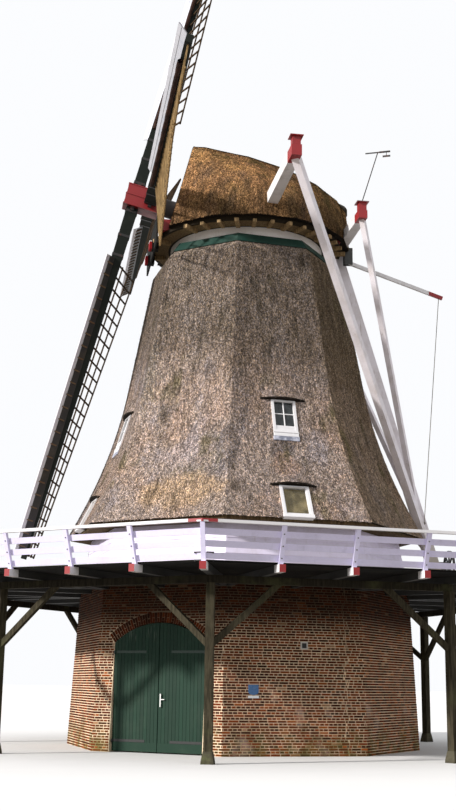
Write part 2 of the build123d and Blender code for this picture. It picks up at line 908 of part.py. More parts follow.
def lever_ears_solid(short_sprit):
    """Two ears with a pin on the back of the short sprit."""
    pivot = place(lever_pivot[0], lever_side, lever_pivot[1])
    reach = lever_width / 2 + lever_ear_gap
    sprit_back = -(short_sprit_along - short_sprit_width / 2)
    whole = Pos(*pivot) * Rot(0, 90, 0) * Cylinder(lever_pin_radius, 2 * (reach + lever_ear_width))
    for hand in (-1, 1):
        near, far = sorted((lever_side + hand * reach, lever_side + hand * (reach + lever_ear_width)))
        whole = whole + block((near, far), (sprit_back, pivot[1] + lever_height / 2),
                              (lever_pivot[1] - lever_height / 2, cap_low + short_sprit_height / 2))
    return largest(whole - short_sprit)


def build_lever():
    """The brake lever swings on the pin between the ears."""
    pivot = place(lever_pivot[0], lever_side, lever_pivot[1])
    tip = place(lever_tip[0], lever_side, lever_tip[1])
    lever = beam(pivot, tip, lever_width, lever_height, across=(1, 0, 0))
    boss = Pos(*pivot) * Rot(0, 90, 0) * Cylinder(lever_height / 2, lever_width)
    bore = Pos(*pivot) * Rot(0, 90, 0) * Cylinder(lever_pin_radius + pin_clearance, lever_width + 10)
    add_cap("brake_lever", (lever + boss - bore).solid())
    head = lever_tip[0] + rope_from_tip
    share = (head - lever_pivot[0]) / (lever_tip[0] - lever_pivot[0])
    head_height = lever_pivot[1] + share * (lever_tip[1] - lever_pivot[1])
    top = Vector(*place(head, lever_side, head_height))
    foot = Vector(*place(rope_foot[0], rope_foot_side, rope_foot[1]))
    line = foot - top
    rope = extrude(Plane(origin=top, x_dir=(1, 0, 0), z_dir=line) * Circle(rope_radius), amount=line.length)
    add_cap("brake_rope", largest(rope - lever))


def build_vane():
    """A leaning rod on the short sprit's cap, with a pointer and two small plates at its back."""
    side = short_sprit_half - sprit_cap_inset
    foot_height = (cap_low + short_sprit_height / 2 * (1 + sprit_end_share) + sprit_cap_height
                   + sprit_plate_thickness)
    foot = Vector(*place(short_sprit_along, side, foot_height))
    top = Vector(*place(short_sprit_along - vane_lean, side, foot_height + vane_rise))
    lean = top - foot
    rod = extrude(Plane(origin=foot - lean.normalized() * 6, x_dir=(1, 0, 0), z_dir=lean) * Circle(vane_radius),
                  amount=lean.length + 6)
    turned = Pos(*top) * Rot(0, 0, -vane_skew)
    whole = rod + turned * block((-vane_radius, vane_radius), (-vane_half, vane_half), (-vane_radius, vane_radius))
    half, tall = vane_plate_thickness / 2, vane_plate_height / 2
    back = vane_half - vane_low_plate_length
    whole = whole + turned * block((-half, half), (vane_half - vane_plate_length, vane_half), (-tall, tall))
    whole = whole + turned * block((-half, half), (back, vane_half), (-vane_plate_drop - tall, -vane_plate_drop + tall))
    middle = vane_half - vane_low_plate_length / 2
    whole = whole + turned * block((-half, half), (middle - half, middle + half), (-vane_plate_drop, 0))
    trimmed = whole - block((side - 200, side + 200), (-short_sprit_along - 200, -short_sprit_along + 200),
                            (foot_height - 60, foot_height))
    add_cap("vane", largest(trimmed))


def build_wheel(tail):
    """The winding wheel turns on an axle in a block behind the tail foot."""
    back = tail_at(wheel_height) - tail_width * 0.6
    centre = place(back - block_length - wheel_gap - wheel_thickness / 2, 0, wheel_height)
    block_front, block_back = tail_at(wheel_height), back - block_length
    bearing = block((-block_width / 2, block_width / 2), (-block_front, -block_back),
                    (wheel_height - block_width / 2, wheel_height + block_width / 2))
    axis = Plane(origin=place(block_front, 0, wheel_height), x_dir=(1, 0, 0), z_dir=(0, 1, 0))
    bore = extrude(axis * Circle(axle_radius + pin_clearance), amount=2000)
    bearing = largest(bearing - tail - bore)
    add_cap("wheel_block", bearing)
    face = Plane(origin=centre, x_dir=(1, 0, 0), z_dir=(0, 1, 0))
    wheel = face * (Circle(wheel_radius) - Circle(wheel_radius - wheel_rim))
    rim = extrude(wheel, amount=wheel_thickness / 2, both=True)
    hub_disc = extrude(face * Circle(wheel_hub_radius), amount=wheel_thickness, both=True)
    spokes = []
    for n in range(wheel_spokes // 2):
        bar = Box(2 * wheel_radius - wheel_rim, wheel_spoke_width, wheel_spoke_width)
        spokes.append(Pos(*centre) * Rot(0, n * 360 / wheel_spokes, 0) * bar)
    axle_start = tail_at(wheel_height) - tail_width * 0.6 - 5
    axle_plane = Plane(origin=place(axle_start, 0, wheel_height), x_dir=(1, 0, 0), z_dir=(0, 1, 0))
    axle = extrude(axle_plane * Circle(axle_radius), amount=-centre[1] * -1 + axle_start)
    whole = rim + hub_disc + axle
    for spoke in spokes:
        whole = whole + spoke
    add_cap("winding_wheel", largest(whole))


# Sails, built flat: x to the near side, y up the arm, z forward along the shaft
sail_plane = Plane(origin=hub, x_dir=(1, 0, 0), z_dir=forward)


def add_sail(name, *solids):
    add_cap(name, *[sail_plane.location * Rot(0, 0, -sail_turn) * solid for solid in solids])


def stock_solid():
    """A stock through the hub, tapered to both tips, along y."""
    root = Rectangle(stock_root_width, stock_root_depth)
    tip = Rectangle(stock_tip_width, stock_tip_depth)
    halves = []
    for hand in (-1, 1):
        near = Plane(origin=(0, 0, 0), x_dir=(1, 0, 0), z_dir=(0, hand, 0)) * root
        far = Plane(origin=(0, hand * sail_length, 0), x_dir=(1, 0, 0), z_dir=(0, hand, 0)) * tip
        halves.append(loft([near, far]).solid())
    return (halves[0] + halves[1]).solid()


def lattice_reach(along, share):
    """A point of the lattice: its distance along the arm, and its share of the full width."""
    def end(twist):
        return Vector(cos(radians(twist)), 0, -sin(radians(twist))) * lattice_width * share
    part = (along - bar_first) / (bar_last - bar_first)
    low, high = end(lattice_root_twist), end(lattice_tip_twist)
    return Vector(0, along, 0) + low + (high - low) * part


def lattice_solid(stock):
    pieces = []
    step = (bar_last - bar_first) / (bars - 1)
    for n in range(bars):
        along = bar_first + n * step
        end = lattice_reach(along, 1 + bar_out / lattice_width)
        pieces.append(beam((0, along, 0), tuple(end), bar_width, bar_depth, across=(0, 1, 0)))
    for n in range(hems):
        share = (n + 1) / hems
        start, end = lattice_reach(bar_first - bar_width, share), lattice_reach(bar_last + bar_width, share)
        behind = Vector(0, 0, -hem_back)
        out = Vector(cos(radians(lattice_root_twist)), 0, -sin(radians(lattice_root_twist)))
        pieces.append(beam(tuple(start + behind), tuple(end + behind), hem_width, hem_depth, across=tuple(out)))
    whole = pieces[0].fuse(*pieces[1:])
    return largest(whole - stock)


def stock_half(along):
    """Half the stock's width at a distance along the arm."""
    return (stock_root_width + (stock_tip_width - stock_root_width) * along / sail_length) / 2


def lead_board_solid(stock):
    """The board on the leading side, tilted forward, its inner edge let into the stock."""
    out = lead_board_width / 2 * cos(radians(lead_board_tilt))
    rise = lead_board_width / 2 * sin(radians(lead_board_tilt))
    middle = (lead_board_first + bar_last) / 2
    size = (lead_board_width, bar_last - lead_board_first, lead_board_thickness)
    board = Pos(lead_board_let - stock_half(bar_last) - out, middle, rise) * Rot(0, lead_board_tilt, 0) * Box(*size)
    return largest(board - stock)


def cloth_solid():
    """The cloth, rolled up against the side of the stock."""
    ends = [(stock_half(along) + cloth_radius + cloth_gap, along, cloth_front) for along in (cloth_first, cloth_last)]
    line = Vector(*ends[1]) - Vector(*ends[0])
    return extrude(Plane(origin=ends[0], z_dir=line) * Circle(cloth_radius), amount=line.length).solid()


def build_sails():
    stock = stock_solid()
    lattice, lead, cloth = lattice_solid(stock), lead_board_solid(stock), cloth_solid()
    arms = [("up", 0, 0), ("near", -90, stock_spacing), ("down", 180, 0), ("far", 90, stock_spacing)]
    back = Pos(0, 0, -stock_spacing)
    inner_stock = back * Rot(0, 0, -90) * stock
    add_sail("stocks", stock, inner_stock)
    leads, cloths = [], []
    for name, turn, behind in arms:
        turned = Pos(0, 0, -behind) * Rot(0, 0, turn)
        add_sail("lattice_" + name, turned * lattice)
        leads.append(turned * lead)
        cloths.append(turned * cloth)
    add_sail("leading_boards", *leads)
    add_sail("rolled_cloths", *cloths)
    poll = block((-poll_width / 2, poll_width / 2), (-poll_width / 2, poll_width / 2), (-poll_back, poll_front))
    poll = poll - stock - inner_stock
    add_sail("poll_end", largest(poll))
    add_cap("windshaft", shaft_solid())


def main():
    build_base()
    build_floors()
    build_doors()
    build_stage()
    build_railing()
    build_boarded_wall()
    build_smock()
    build_band()
    build_cap()
    build_sails()
    os.makedirs("parts", exist_ok=True)
    for name, solids in nodes.items():
        export_step(Compound(children=solids) if len(solids) > 1 else solids[0], f"parts/{name}.step")


main()
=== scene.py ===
import random
from math import asin, ceil, cos, degrees, floor, hypot, pi, radians, sin, sqrt, tan

import bpy
import numpy as np
from bpy.props import FloatProperty, FloatVectorProperty, IntProperty, PointerProperty
from mathutils import Matrix, Vector


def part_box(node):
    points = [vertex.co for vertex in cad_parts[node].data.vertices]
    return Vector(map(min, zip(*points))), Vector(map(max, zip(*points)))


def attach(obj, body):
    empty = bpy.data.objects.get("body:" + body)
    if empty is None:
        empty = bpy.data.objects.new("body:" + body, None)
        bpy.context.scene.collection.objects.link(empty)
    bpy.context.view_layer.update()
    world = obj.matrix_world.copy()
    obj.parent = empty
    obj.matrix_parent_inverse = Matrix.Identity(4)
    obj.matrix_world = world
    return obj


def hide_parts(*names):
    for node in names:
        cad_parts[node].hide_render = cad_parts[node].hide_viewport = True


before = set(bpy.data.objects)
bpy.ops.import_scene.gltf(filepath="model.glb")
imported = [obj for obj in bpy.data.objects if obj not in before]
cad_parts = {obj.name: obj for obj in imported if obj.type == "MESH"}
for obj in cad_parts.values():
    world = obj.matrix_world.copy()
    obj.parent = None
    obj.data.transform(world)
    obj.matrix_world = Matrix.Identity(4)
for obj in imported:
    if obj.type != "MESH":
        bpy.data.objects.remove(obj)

bl_info = {
    "name": "Thatched Stage Mill",
    "version": (1, 0, 0),
    "blender": (4, 5, 0),
    "location": "3D View > Sidebar > Windmill",
    "description": "Lays the bricks, reed, boards and paint of a thatched stage mill over its solids",
    "category": "Object",
}

# Sizes shared with the solids, in metres
SIDES = 8
SIDE_ANGLE = 2 * pi / SIDES
BASE_RADIUS, BASE_BATTER, BASE_HEIGHT = 4.66, 0.05, 4.01
DECK_RADIUS, DECK_LOW, DECK_HIGH = 8.5, 4.01, 4.06
RAIL_LEAN = 0.29 / 0.775
DOOR_HALF, DOOR_SPRING, DOOR_RISE = 1.275, 2.55, 0.47
LEAF_FACE, LEAF_THICKNESS = 4.2, 0.06
# Radius of the door's arch, the height of its middle, and the room that its ring of bricks takes
DOOR_ARCH = (DOOR_HALF**2 + DOOR_RISE**2) / (2 * DOOR_RISE)
DOOR_MIDDLE = DOOR_SPRING + DOOR_RISE - DOOR_ARCH
ARCH_RING = 0.25
SMOCK_LOW, WALL_TAPER = 5.48, 0.1903
THATCH_TOP, THATCH_SHOULDER, THATCH_TAPER = 2.7, 13.0, 0.185
FLARE_HIGH, FLARE_OUT = 9.6, 0.81
WINDOW_PROUD, WINDOW_SIDES = 0.03, (1, 3, 5, 7)
CAP_YAW = radians(-52.5)
SAIL_TURN = radians(4.6)
SHAFT_TILT = radians(14.4)
HUB_ALONG, HUB_HEIGHT = 3.245, 15.171
STOCK_SPACING = 0.45
POST_RING = 7.26
ROPE_WIDTH = 0.02

# How the photograph was taken, with its height and the lens's reach in pixels
PHOTO_HEIGHT, PHOTO_LENS = 810, 1200
CAMERA_PLACE = (15.30, -29.02, 1.6)
CAMERA_TURN, CAMERA_PITCH, CAMERA_ROLL = radians(28.6), radians(13.1), radians(0.8)
SUN_AZIMUTH, SUN_HEIGHT = radians(-34), radians(25)

# Turn of each arm about the shaft, and its stock's place along the shaft from the outer stock
ARMS = ((0.0, 0.0), (-pi / 2, -STOCK_SPACING), (pi, 0.0), (pi / 2, -STOCK_SPACING))
# The lattice's first bar, the run of its bars, its width and the twist of its first and last bar
BAR_FIRST, BAR_RUN, LATTICE_WIDTH, BAR_TWISTS = 1.95, 8.61, 1.75, (20, 6)
# Roughness from which a finish has hardly any sheen
DULL = 0.8

# Patches of the smock's reed: middle, reach, colour and strength
REED_PATCHES = (
    ((0.5, -4.2, 6.15), (1.4, 0.7, 0.62), (204, 164, 100), 0.62),
    ((1.5, -3.75, 7.1), (0.32, 0.45, 1.9), (70, 66, 46), 0.7),
    ((1.62, -3.3, 8.6), (0.3, 0.5, 1.2), (78, 72, 50), 0.55),
    ((0.79, -3.3, 8.4), (0.4, 0.5, 1.1), (176, 142, 112), 0.35),
    ((2.52, -2.69, 7.3), (0.4, 0.4, 0.3), (66, 60, 36), 0.8),
    ((2.65, -2.85, 6.8), (0.4, 0.45, 0.55), (164, 120, 74), 0.5),
    ((0.4, -3.85, 7.2), (0.9, 0.5, 0.55), (190, 172, 166), 0.6),
    ((-0.55, -3.45, 8.2), (0.35, 0.5, 0.6), (92, 84, 56), 0.55),
    ((-1.25, -3.1, 9.5), (0.35, 0.5, 1.6), (100, 96, 62), 0.6),
)


def paint(red, green, blue):
    """A paint chip's colour as Blender counts light."""
    chip = [x / 255 for x in (red, green, blue)]
    return tuple(x / 12.92 if x <= 0.04045 else ((x + 0.055) / 1.055) ** 2.4 for x in chip) + (1.0,)


def flat(corner_radius):
    """From the axis to the middle of a side of the octagon."""
    return corner_radius * cos(SIDE_ANGLE / 2)


def on_side(side, across, out, height):
    """A point by its place on one side: across it, out from the axis, and its height."""
    turn = side * SIDE_ANGLE
    return Vector((across * cos(turn) + out * sin(turn), across * sin(turn) - out * cos(turn), height))


def thatch_radius(height):
    """From the axis to a corner of the thatch at a height."""
    straight = THATCH_TOP + THATCH_TAPER * (THATCH_SHOULDER - height)
    share = max(0, (FLARE_HIGH - height) / (FLARE_HIGH - SMOCK_LOW))
    return straight + FLARE_OUT * share**2


def on_cap(along, side, height):
    """A point of the cap: along its axis towards the sails, to its side, and its height."""
    x = side * cos(CAP_YAW) + along * sin(CAP_YAW)
    y = side * sin(CAP_YAW) - along * cos(CAP_YAW)
    return Vector((x, y, height))


def on_sail(across, outward, ahead, arm=0.0):
    """A point of the sails: across the arm, out from the hub, ahead of the stock, and the arm's turn."""
    x = across * cos(arm - SAIL_TURN) - outward * sin(arm - SAIL_TURN)
    y = across * sin(arm - SAIL_TURN) + outward * cos(arm - SAIL_TURN)
    along = HUB_ALONG - y * sin(SHAFT_TILT) + ahead * cos(SHAFT_TILT)
    return on_cap(along, x, HUB_HEIGHT + y * cos(SHAFT_TILT) + ahead * sin(SHAFT_TILT))


class Value:
    """A shader socket that can be written into sums."""

    def __init__(self, tree, socket):
        self.tree, self.socket = tree, socket

    def math(self, operation, *others):
        return self.tree.node("ShaderNodeMath", {"operation": operation}, dict(enumerate((self, *others))))

    def swapped(self, operation, other):
        return self.tree.node("ShaderNodeMath", {"operation": operation}, {0: other, 1: self})

    def __add__(self, other):
        return self.math("ADD", other)

    __radd__ = __add__

    def __sub__(self, other):
        return self.math("SUBTRACT", other)

    def __rsub__(self, other):
        return self.swapped("SUBTRACT", other)

    def __mul__(self, other):
        return self.math("MULTIPLY", other)

    __rmul__ = __mul__

    def __truediv__(self, other):
        return self.math("DIVIDE", other)

    def __abs__(self):
        return self.math("ABSOLUTE")

    def between(self, low, high):
        """0 below low, 1 above high, and a soft step between them."""
        soft = {"interpolation_type": "SMOOTHSTEP"}
        return self.tree.node("ShaderNodeMapRange", soft, {0: self, 1: low, 2: high})

    def past(self, limit):
        """0 below a limit and 1 above it, with a sharp edge as between two coats of paint."""
        return self.between(limit - 0.001, limit + 0.001)


class Nodes:
    """The nodes of a material or of the sky while they are put together."""

    def __init__(self, tree):
        self.tree = tree

    def node(self, kind, settings=None, sockets=None, output=0):
        made = self.tree.nodes.new(kind)
        for name, setting in (settings or {}).items():
            if name == "stops":
                self.set_stops(made.color_ramp, setting)
            else:
                setattr(made, name, setting)
        for name, value in (sockets or {}).items():
            self.feed(made.inputs[name], value)
        return Value(self, made.outputs[output])

    def set_stops(self, ramp, stops):
        while len(ramp.elements) < len(stops):
            ramp.elements.new(1.0)
        for element, (position, colour) in zip(ramp.elements, stops):
            element.position, element.color = position, colour

    def feed(self, socket, value):
        if isinstance(value, Value):
            self.tree.links.new(value.socket, socket)
        else:
            socket.default_value = value

    def seen(self):
        """1 for what the camera, a reflection or a pane shows, 0 for the light that surfaces pass on."""
        path = self.node("ShaderNodeLightPath", output="Is Camera Ray")
        glossy, through = (Value(self, path.socket.node.outputs["Is " + kind + " Ray"])
                           for kind in ("Glossy", "Transmission"))
        return path.math("MAXIMUM", glossy).math("MAXIMUM", through)


class Finish(Nodes):
    """A material while it is mixed."""

    def __init__(self, name, roughness=0.7):
        self.material = bpy.data.materials.new(name)
        self.material.use_nodes = True
        self.colours = bpy.context.scene.mill_colours
        super().__init__(self.material.node_tree)
        self.shader = self.tree.nodes["Principled BSDF"]
        self.shader.inputs["Roughness"].default_value = roughness
        self.shader.inputs["Specular IOR Level"].default_value = 0.5 if roughness < DULL else 0.1
        self.place = self.node("ShaderNodeTexCoord", output="Object")

    def set(self, **sockets):
        for name, value in sockets.items():
            self.feed(self.shader.inputs[name.replace("_", " ")], value)

    def mix(self, one, other, share):
        return self.node("ShaderNodeMix", {"data_type": "RGBA"}, {0: share, 6: one, 7: other}, output=2)

    def shade(self, colour, factor):
        """The colour made lighter or darker."""
        if not isinstance(colour, Value):
            colour = tuple(colour)[:3]
            if not isinstance(factor, Value):
                return tuple(part * factor for part in colour) + (1.0,)
        return self.node("ShaderNodeVectorMath", {"operation": "SCALE"}, {0: colour, "Scale": factor})

    def ramp(self, value, *stops):
        return self.node("ShaderNodeValToRGB", {"stops": stops}, {0: value})

    def stretched(self, stretch):
        return self.node("ShaderNodeVectorMath", {"operation": "MULTIPLY"}, {0: self.place, 1: stretch})

    def noise(self, scale, detail=3.0, roughness=0.55, stretch=None, vector=None):
        vector = vector or (self.stretched(stretch) if stretch else self.place)
        return self.node("ShaderNodeTexNoise", {}, {
            "Vector": vector, "Scale": scale, "Detail": detail, "Roughness": roughness,
        })

    def tone(self):
        """The shade given to each block when its piece was made."""
        return self.node("ShaderNodeAttribute", {"attribute_name": "tone"}, output="Fac")

    def parts(self, vector=None):
        split = self.node("ShaderNodeSeparateXYZ", {}, {0: vector or self.place})
        return [Value(self, split.socket.node.outputs[n]) for n in range(3)]

    def joined(self, x, y, z=0.0):
        return self.node("ShaderNodeCombineXYZ", {}, {0: x, 1: y, 2: z})

    def facing(self):
        """The surface's direction in the part's own frame."""
        return self.node("ShaderNodeTexCoord", output="Normal")

    def along(self, direction, vector=None):
        return self.node("ShaderNodeVectorMath", {"operation": "DOT_PRODUCT"},
                         {0: vector or self.place, 1: direction}, output="Value")

    def bump(self, height, distance, strength=1.0):
        self.set(Normal=self.node("ShaderNodeBump", {}, {
            "Height": height, "Distance": distance, "Strength": strength,
        }))

    def coat(self, colour, height, distance, strength=1.0, **sockets):
        """Gives the surface its colour and relief."""
        self.set(Base_Color=colour, **sockets)
        self.bump(height, distance, strength)
        return self

    def near(self, centre, reach):
        """1 at a point, and 0 outside an uneven patch around it."""
        offset = self.node("ShaderNodeVectorMath", {"operation": "SUBTRACT"}, {0: self.place, 1: centre})
        share = self.node("ShaderNodeVectorMath", {"operation": "DIVIDE"}, {0: offset, 1: reach})
        length = self.node("ShaderNodeVectorMath", {"operation": "LENGTH"}, {0: share}, output="Value")
        return 1.0 - (length + (self.noise(1.7, 4.0, 0.6) - 0.5) * 1.3).between(0.6, 1.0)

    def octagon(self):
        """Across a side, out from the axis, and height, for a point anywhere on the tower."""
        x, y, z = self.parts()
        turn = x.math("ARCTAN2", y * -1.0) / SIDE_ANGLE
        fold = (turn - turn.math("ROUND")) * SIDE_ANGLE
        radius = self.radius()
        return radius * fold.math("SINE"), radius * fold.math("COSINE"), z

    def radius(self):
        """How far a point is from the upright axis."""
        x, y = self.parts()[:2]
        return (x * x + y * y).math("SQRT")


FINISHES = {}


def finish(maker):
    """Makes each material once."""
    def fetch(*options):
        options = [option if isinstance(option, (str, int, float)) else tuple(option) for option in options]
        key = (maker.__name__, *options)
        if key not in FINISHES:
            FINISHES[key] = maker(*options).material
        return FINISHES[key]
    return fetch


@finish
def brick_work():
    """Laid brick with wide joints, for the wall behind and between the bricks."""
    made = Finish("brick_work", 0.9)
    across, _, height = made.octagon()
    laid = made.node("ShaderNodeTexBrick", {"offset": 0.5}, {
        "Vector": made.joined(across, height), "Mortar": made.colours.joint,
        "Color1": made.colours.brick_dark, "Color2": made.colours.brick_red,
        "Scale": 1.0, "Mortar Size": 0.008, "Mortar Smooth": 0.3,
        "Brick Width": 0.235, "Row Height": 0.062,
    })
    grime = made.noise(1.4, 4.0)
    speck = made.noise(55.0, 3.0)
    return made.coat(made.shade(laid, grime.between(0.3, 0.75) * 0.5 + speck * 0.5 + 0.4), speck, 0.004)


@finish
def joint_mortar():
    """Pale mortar between the bricks, dirtier towards the ground, and darkened under the stage as painted
    shade.
    """
    made = Finish("joint_mortar", 0.95)
    height = made.parts()[2]
    speck = made.noise(70.0, 4.0)
    blotch = made.noise(1.7, 4.0).between(0.35, 0.7)
    colour = made.mix(made.colours.joint, paint(150, 120, 90), blotch * 0.35)
    colour = made.mix(colour, paint(132, 124, 76), (1.0 - height.between(0.1, 1.0)) * blotch)
    # Painted shade: the joints darken towards the top, where the stage deck shades the wall.
    stage_shade = 1.0 - height.between(2.6, 3.4) * 0.84
    return made.coat(made.shade(made.shade(colour, speck * 0.5 + 0.86), stage_shade), speck, 0.004)


@finish
def brick_face():
    """Single bricks, each with its own firing colour, with lime bloom and moss low on the wall, and painted
    shade high up under the stage.
    """
    made = Finish("brick_face", 0.88)
    height = made.parts()[2]
    speck = made.noise(60.0, 4.0, 0.65)
    patch = made.noise(0.8, 3.0)
    tone = made.tone() + (patch - 0.5) * 0.5
    colour = made.ramp(
        tone, (0.0, paint(66, 38, 26)), (0.35, made.colours.brick_dark), (0.7, made.colours.brick_red),
        (0.88, made.colours.brick_orange), (1.0, paint(190, 150, 116)),
    )
    bloom = made.noise(1.6, 4.0).between(0.58, 0.74) * (1.0 - height.between(1.2, 2.2))
    colour = made.mix(colour, paint(206, 182, 170), bloom * 0.55)
    moss = (1.0 - height.between(0.15, 0.9)) * made.noise(3.0, 4.0).between(0.4, 0.62)
    colour = made.mix(colour, paint(104, 96, 50), moss * 0.6)
    # Painted shade: the bricks darken towards the top, where the stage deck shades the wall.
    stage_shade = 1.0 - height.between(2.6, 3.4) * 0.6
    return made.coat(made.shade(made.shade(colour, speck * 0.7 + 0.45), stage_shade), speck, 0.006)


@finish
def reed(kind, toned):
    """Weathered reed: stalk ends of many tones, long streaks down the slope, and patches of age and moss."""
    made = Finish(kind + ("_ends" if toned else "_bed"), 0.95)
    x, y, z = made.parts()
    stalks = made.node("ShaderNodeTexVoronoi", {}, {
        "Vector": made.stretched((1.0, 1.0, 0.5)), "Scale": 54.0,
    }, output="Color")
    one, other, third = made.parts(stalks)
    fine = made.noise(85.0, 2.0, 0.7, (1.0, 1.0, 0.35))
    streak = made.noise(3.2, 4.0, 0.65, (1.0, 1.0, 0.12))
    patch = made.noise(0.55, 4.0, 0.6)
    blotch = made.noise(1.3, 4.0, 0.65, (1.0, 1.0, 0.6))
    if kind == "cap_reed":
        colour = made.mix(made.colours.cap_reed, paint(212, 158, 88), patch.between(0.42, 0.62) * 0.85)
        colour = made.mix(colour, paint(92, 70, 46), blotch.between(0.48, 0.7) * 0.7)
        age = 1.0 - z.between(13.95, 15.1)
        level_age = 1.0 - age * 0.5
        colour = made.mix(colour, paint(84, 66, 40), age * 0.4)
    else:
        colour = made.mix(made.colours.reed, paint(184, 150, 118), patch.between(0.42, 0.62) * 0.7)
        colour = made.mix(colour, paint(166, 158, 160), blotch.between(0.5, 0.66) * 0.6)
        age = (z + (patch - 0.5) * 2.4 + (x * 0.6 + y * 0.2) * 0.25).between(8.3, 11.0)
        colour = made.mix(colour, paint(108, 94, 54), age * 0.8)
        level_age = 1.0 - age * 0.27
        for middle, reach, tint, share in REED_PATCHES:
            colour = made.mix(colour, paint(*tint), made.near(middle, reach) * share)
    greyed = 0.15 if kind == "cap_reed" else 0.42
    colour = made.mix(colour, made.mix(paint(178, 152, 134), paint(152, 150, 168), other), greyed)
    shaded = (x * 0.383 + y * 0.924).between(-0.15, 0.12) * x.between(0.0, 0.5)
    colour = made.mix(colour, paint(128, 104, 60), shaded * 0.45)
    colour = made.mix(colour, paint(82, 72, 56), streak.between(0.5, 0.68) * 0.55)
    moss = made.noise(0.9, 4.0, 0.65, (1.0, 1.0, 0.5)).between(0.56, 0.7)
    colour = made.mix(colour, made.colours.moss, moss * 0.6)
    thread = made.noise(13.0, 3.0, 0.6, (1.0, 1.0, 0.07))
    level = (one * one * 2.1 + fine * 0.7 + 0.12) * level_age * (thread * 2.1 - 0.05)
    if toned:
        level = level * (made.tone() * 1.1 + 0.45)
    # Painted shade: faces that turn downwards, such as the cut ends of the brows and eaves, are darkened.
    under = made.parts(made.facing())[2].between(-0.62, -0.3) * 0.94 + 0.06
    return made.coat(made.shade(made.shade(colour, level), under), fine + third, 0.03, 0.9)


@finish
def painted(name, colour, grime_colour, wear, sheen):
    """Old gloss paint on timber: dirt in soft clouds and runs, hairline cracks, and dulled patches."""
    made = Finish(name, sheen)
    cloud = made.noise(1.9, 4.0, 0.6)
    runs = made.noise(9.0, 3.0, 0.6, (1.0, 1.0, 0.12))
    grain = made.noise(60.0, 2.0, 0.6, (0.25, 0.25, 1.0))
    dirt = (cloud.between(0.45, 0.78) * 0.6 + runs.between(0.55, 0.8) * 0.5) * wear
    mixed = made.mix(colour, grime_colour, dirt)
    return made.coat(made.shade(mixed, grain * 0.16 + 0.92),
                     grain, 0.003, 0.6, Roughness=cloud * 0.3 + (sheen - 0.15))


def ended(name, colour, grime_colour, at, ends, beyond):
    """Old gloss paint that has another colour past a limit along one direction."""
    made = Finish(name, 0.45)
    cloud = made.noise(2.2, 4.0, 0.6)
    grain = made.noise(70.0, 2.0)
    place = at(made)
    mixed = made.mix(colour, grime_colour, cloud.between(0.45, 0.8) * 0.55)
    mixed = made.mix(mixed, made.shade(ends, cloud * 0.5 + 0.75), place.past(beyond - 0.001))
    return made.coat(made.shade(mixed, grain * 0.14 + 0.93), grain, 0.003, 0.5, Roughness=cloud * 0.3 + 0.35)


@finish
def sprit_paint(name, reach, head):
    """A white cap beam with red heads."""
    colours = bpy.context.scene.mill_colours
    side = (cos(CAP_YAW), sin(CAP_YAW), 0.0)
    return ended(name, colours.white, paint(150, 140, 126), lambda made: abs(made.along(side)),
                 colours.red, reach - head)


@finish
def lever_paint():
    """The brake lever: white, with a red grip and tip."""
    colours = bpy.context.scene.mill_colours
    back = (-sin(CAP_YAW), cos(CAP_YAW), 0.0)
    return ended("lever_paint", colours.white, paint(120, 112, 104), lambda made: made.along(back),
                 colours.red, 5.32)


@finish
def beard_paint():
    """The black board across the cap's front: red beam ends with white upper edges."""
    made = Finish("beard_paint", 0.85)
    forward = (sin(CAP_YAW), -cos(CAP_YAW), 0.0)
    height = made.parts()[2]
    cloud = made.noise(3.0, 4.0)
    mixed = made.mix(paint(26, 26, 25), paint(60, 56, 48), cloud.between(0.5, 0.8) * 0.5)
    end = made.along(forward).past(2.79)
    mixed = made.mix(mixed, made.shade(made.colours.red, cloud * 0.5 + 0.75), end)
    mixed = made.mix(mixed, made.colours.white, end * height.past(13.634))
    return made.coat(mixed, made.noise(60.0, 2.0), 0.003, 0.5)


@finish
def sprit_cap_paint():
    """The red blocks on the sprits, with their grey plates."""
    made = Finish("sprit_cap_paint", 0.5)
    height = made.parts()[2]
    cloud = made.noise(5.0, 4.0)
    plate = height.past(14.695) + height.past(14.286) * (1.0 - height.past(14.325))
    red = made.shade(made.colours.red, cloud * 0.5 + 0.7)
    return made.coat(made.mix(red, paint(128, 126, 130), plate),
                     cloud, 0.003, 0.5, Roughness=cloud * 0.3 + 0.35)


@finish
def lead_board_paint():
    """Leading boards: pale blue paint in front, tarred behind."""
    made = Finish("lead_board_paint", 0.5)
    forward = (sin(CAP_YAW) * cos(SHAFT_TILT), -cos(CAP_YAW) * cos(SHAFT_TILT), sin(SHAFT_TILT))
    front = made.along(forward, made.facing()).between(-0.05, 0.05)
    cloud = made.noise(2.2, 4.0, 0.6)
    grain = made.noise(60.0, 2.0)
    pale = made.mix(made.colours.lead_board, paint(168, 178, 196), cloud.between(0.4, 0.7) * 0.6)
    dark = made.mix(paint(40, 41, 42), paint(78, 70, 58), cloud.between(0.5, 0.75) * 0.5)
    return made.coat(made.shade(made.mix(dark, pale, front), grain * 0.14 + 0.93), grain, 0.003, 0.5)


@finish
def tail_paint():
    """The tail pole and braces: white paint, greyer towards the foot."""
    made = Finish("tail_paint", 0.5)
    height = made.parts()[2]
    cloud = made.noise(2.0, 4.0, 0.6)
    grain = made.noise(60.0, 2.0, 0.6, (1.0, 1.0, 0.2))
    crack = made.noise(11.0, 4.0, 0.7, (1.0, 1.0, 0.1)).between(0.62, 0.7)
    mixed = made.mix(paint(240, 234, 240), paint(196, 184, 178), cloud.between(0.4, 0.75) * 0.5)
    mixed = made.mix(mixed, paint(132, 104, 80), crack * 0.4)
    mixed = made.mix(mixed, paint(168, 158, 142), 1.0 - height.between(4.6, 6.4))
    return made.coat(made.shade(mixed, grain * 0.16 + 0.9),
                     grain + crack * -1.0, 0.004, 0.6, Roughness=cloud * 0.3 + 0.35)


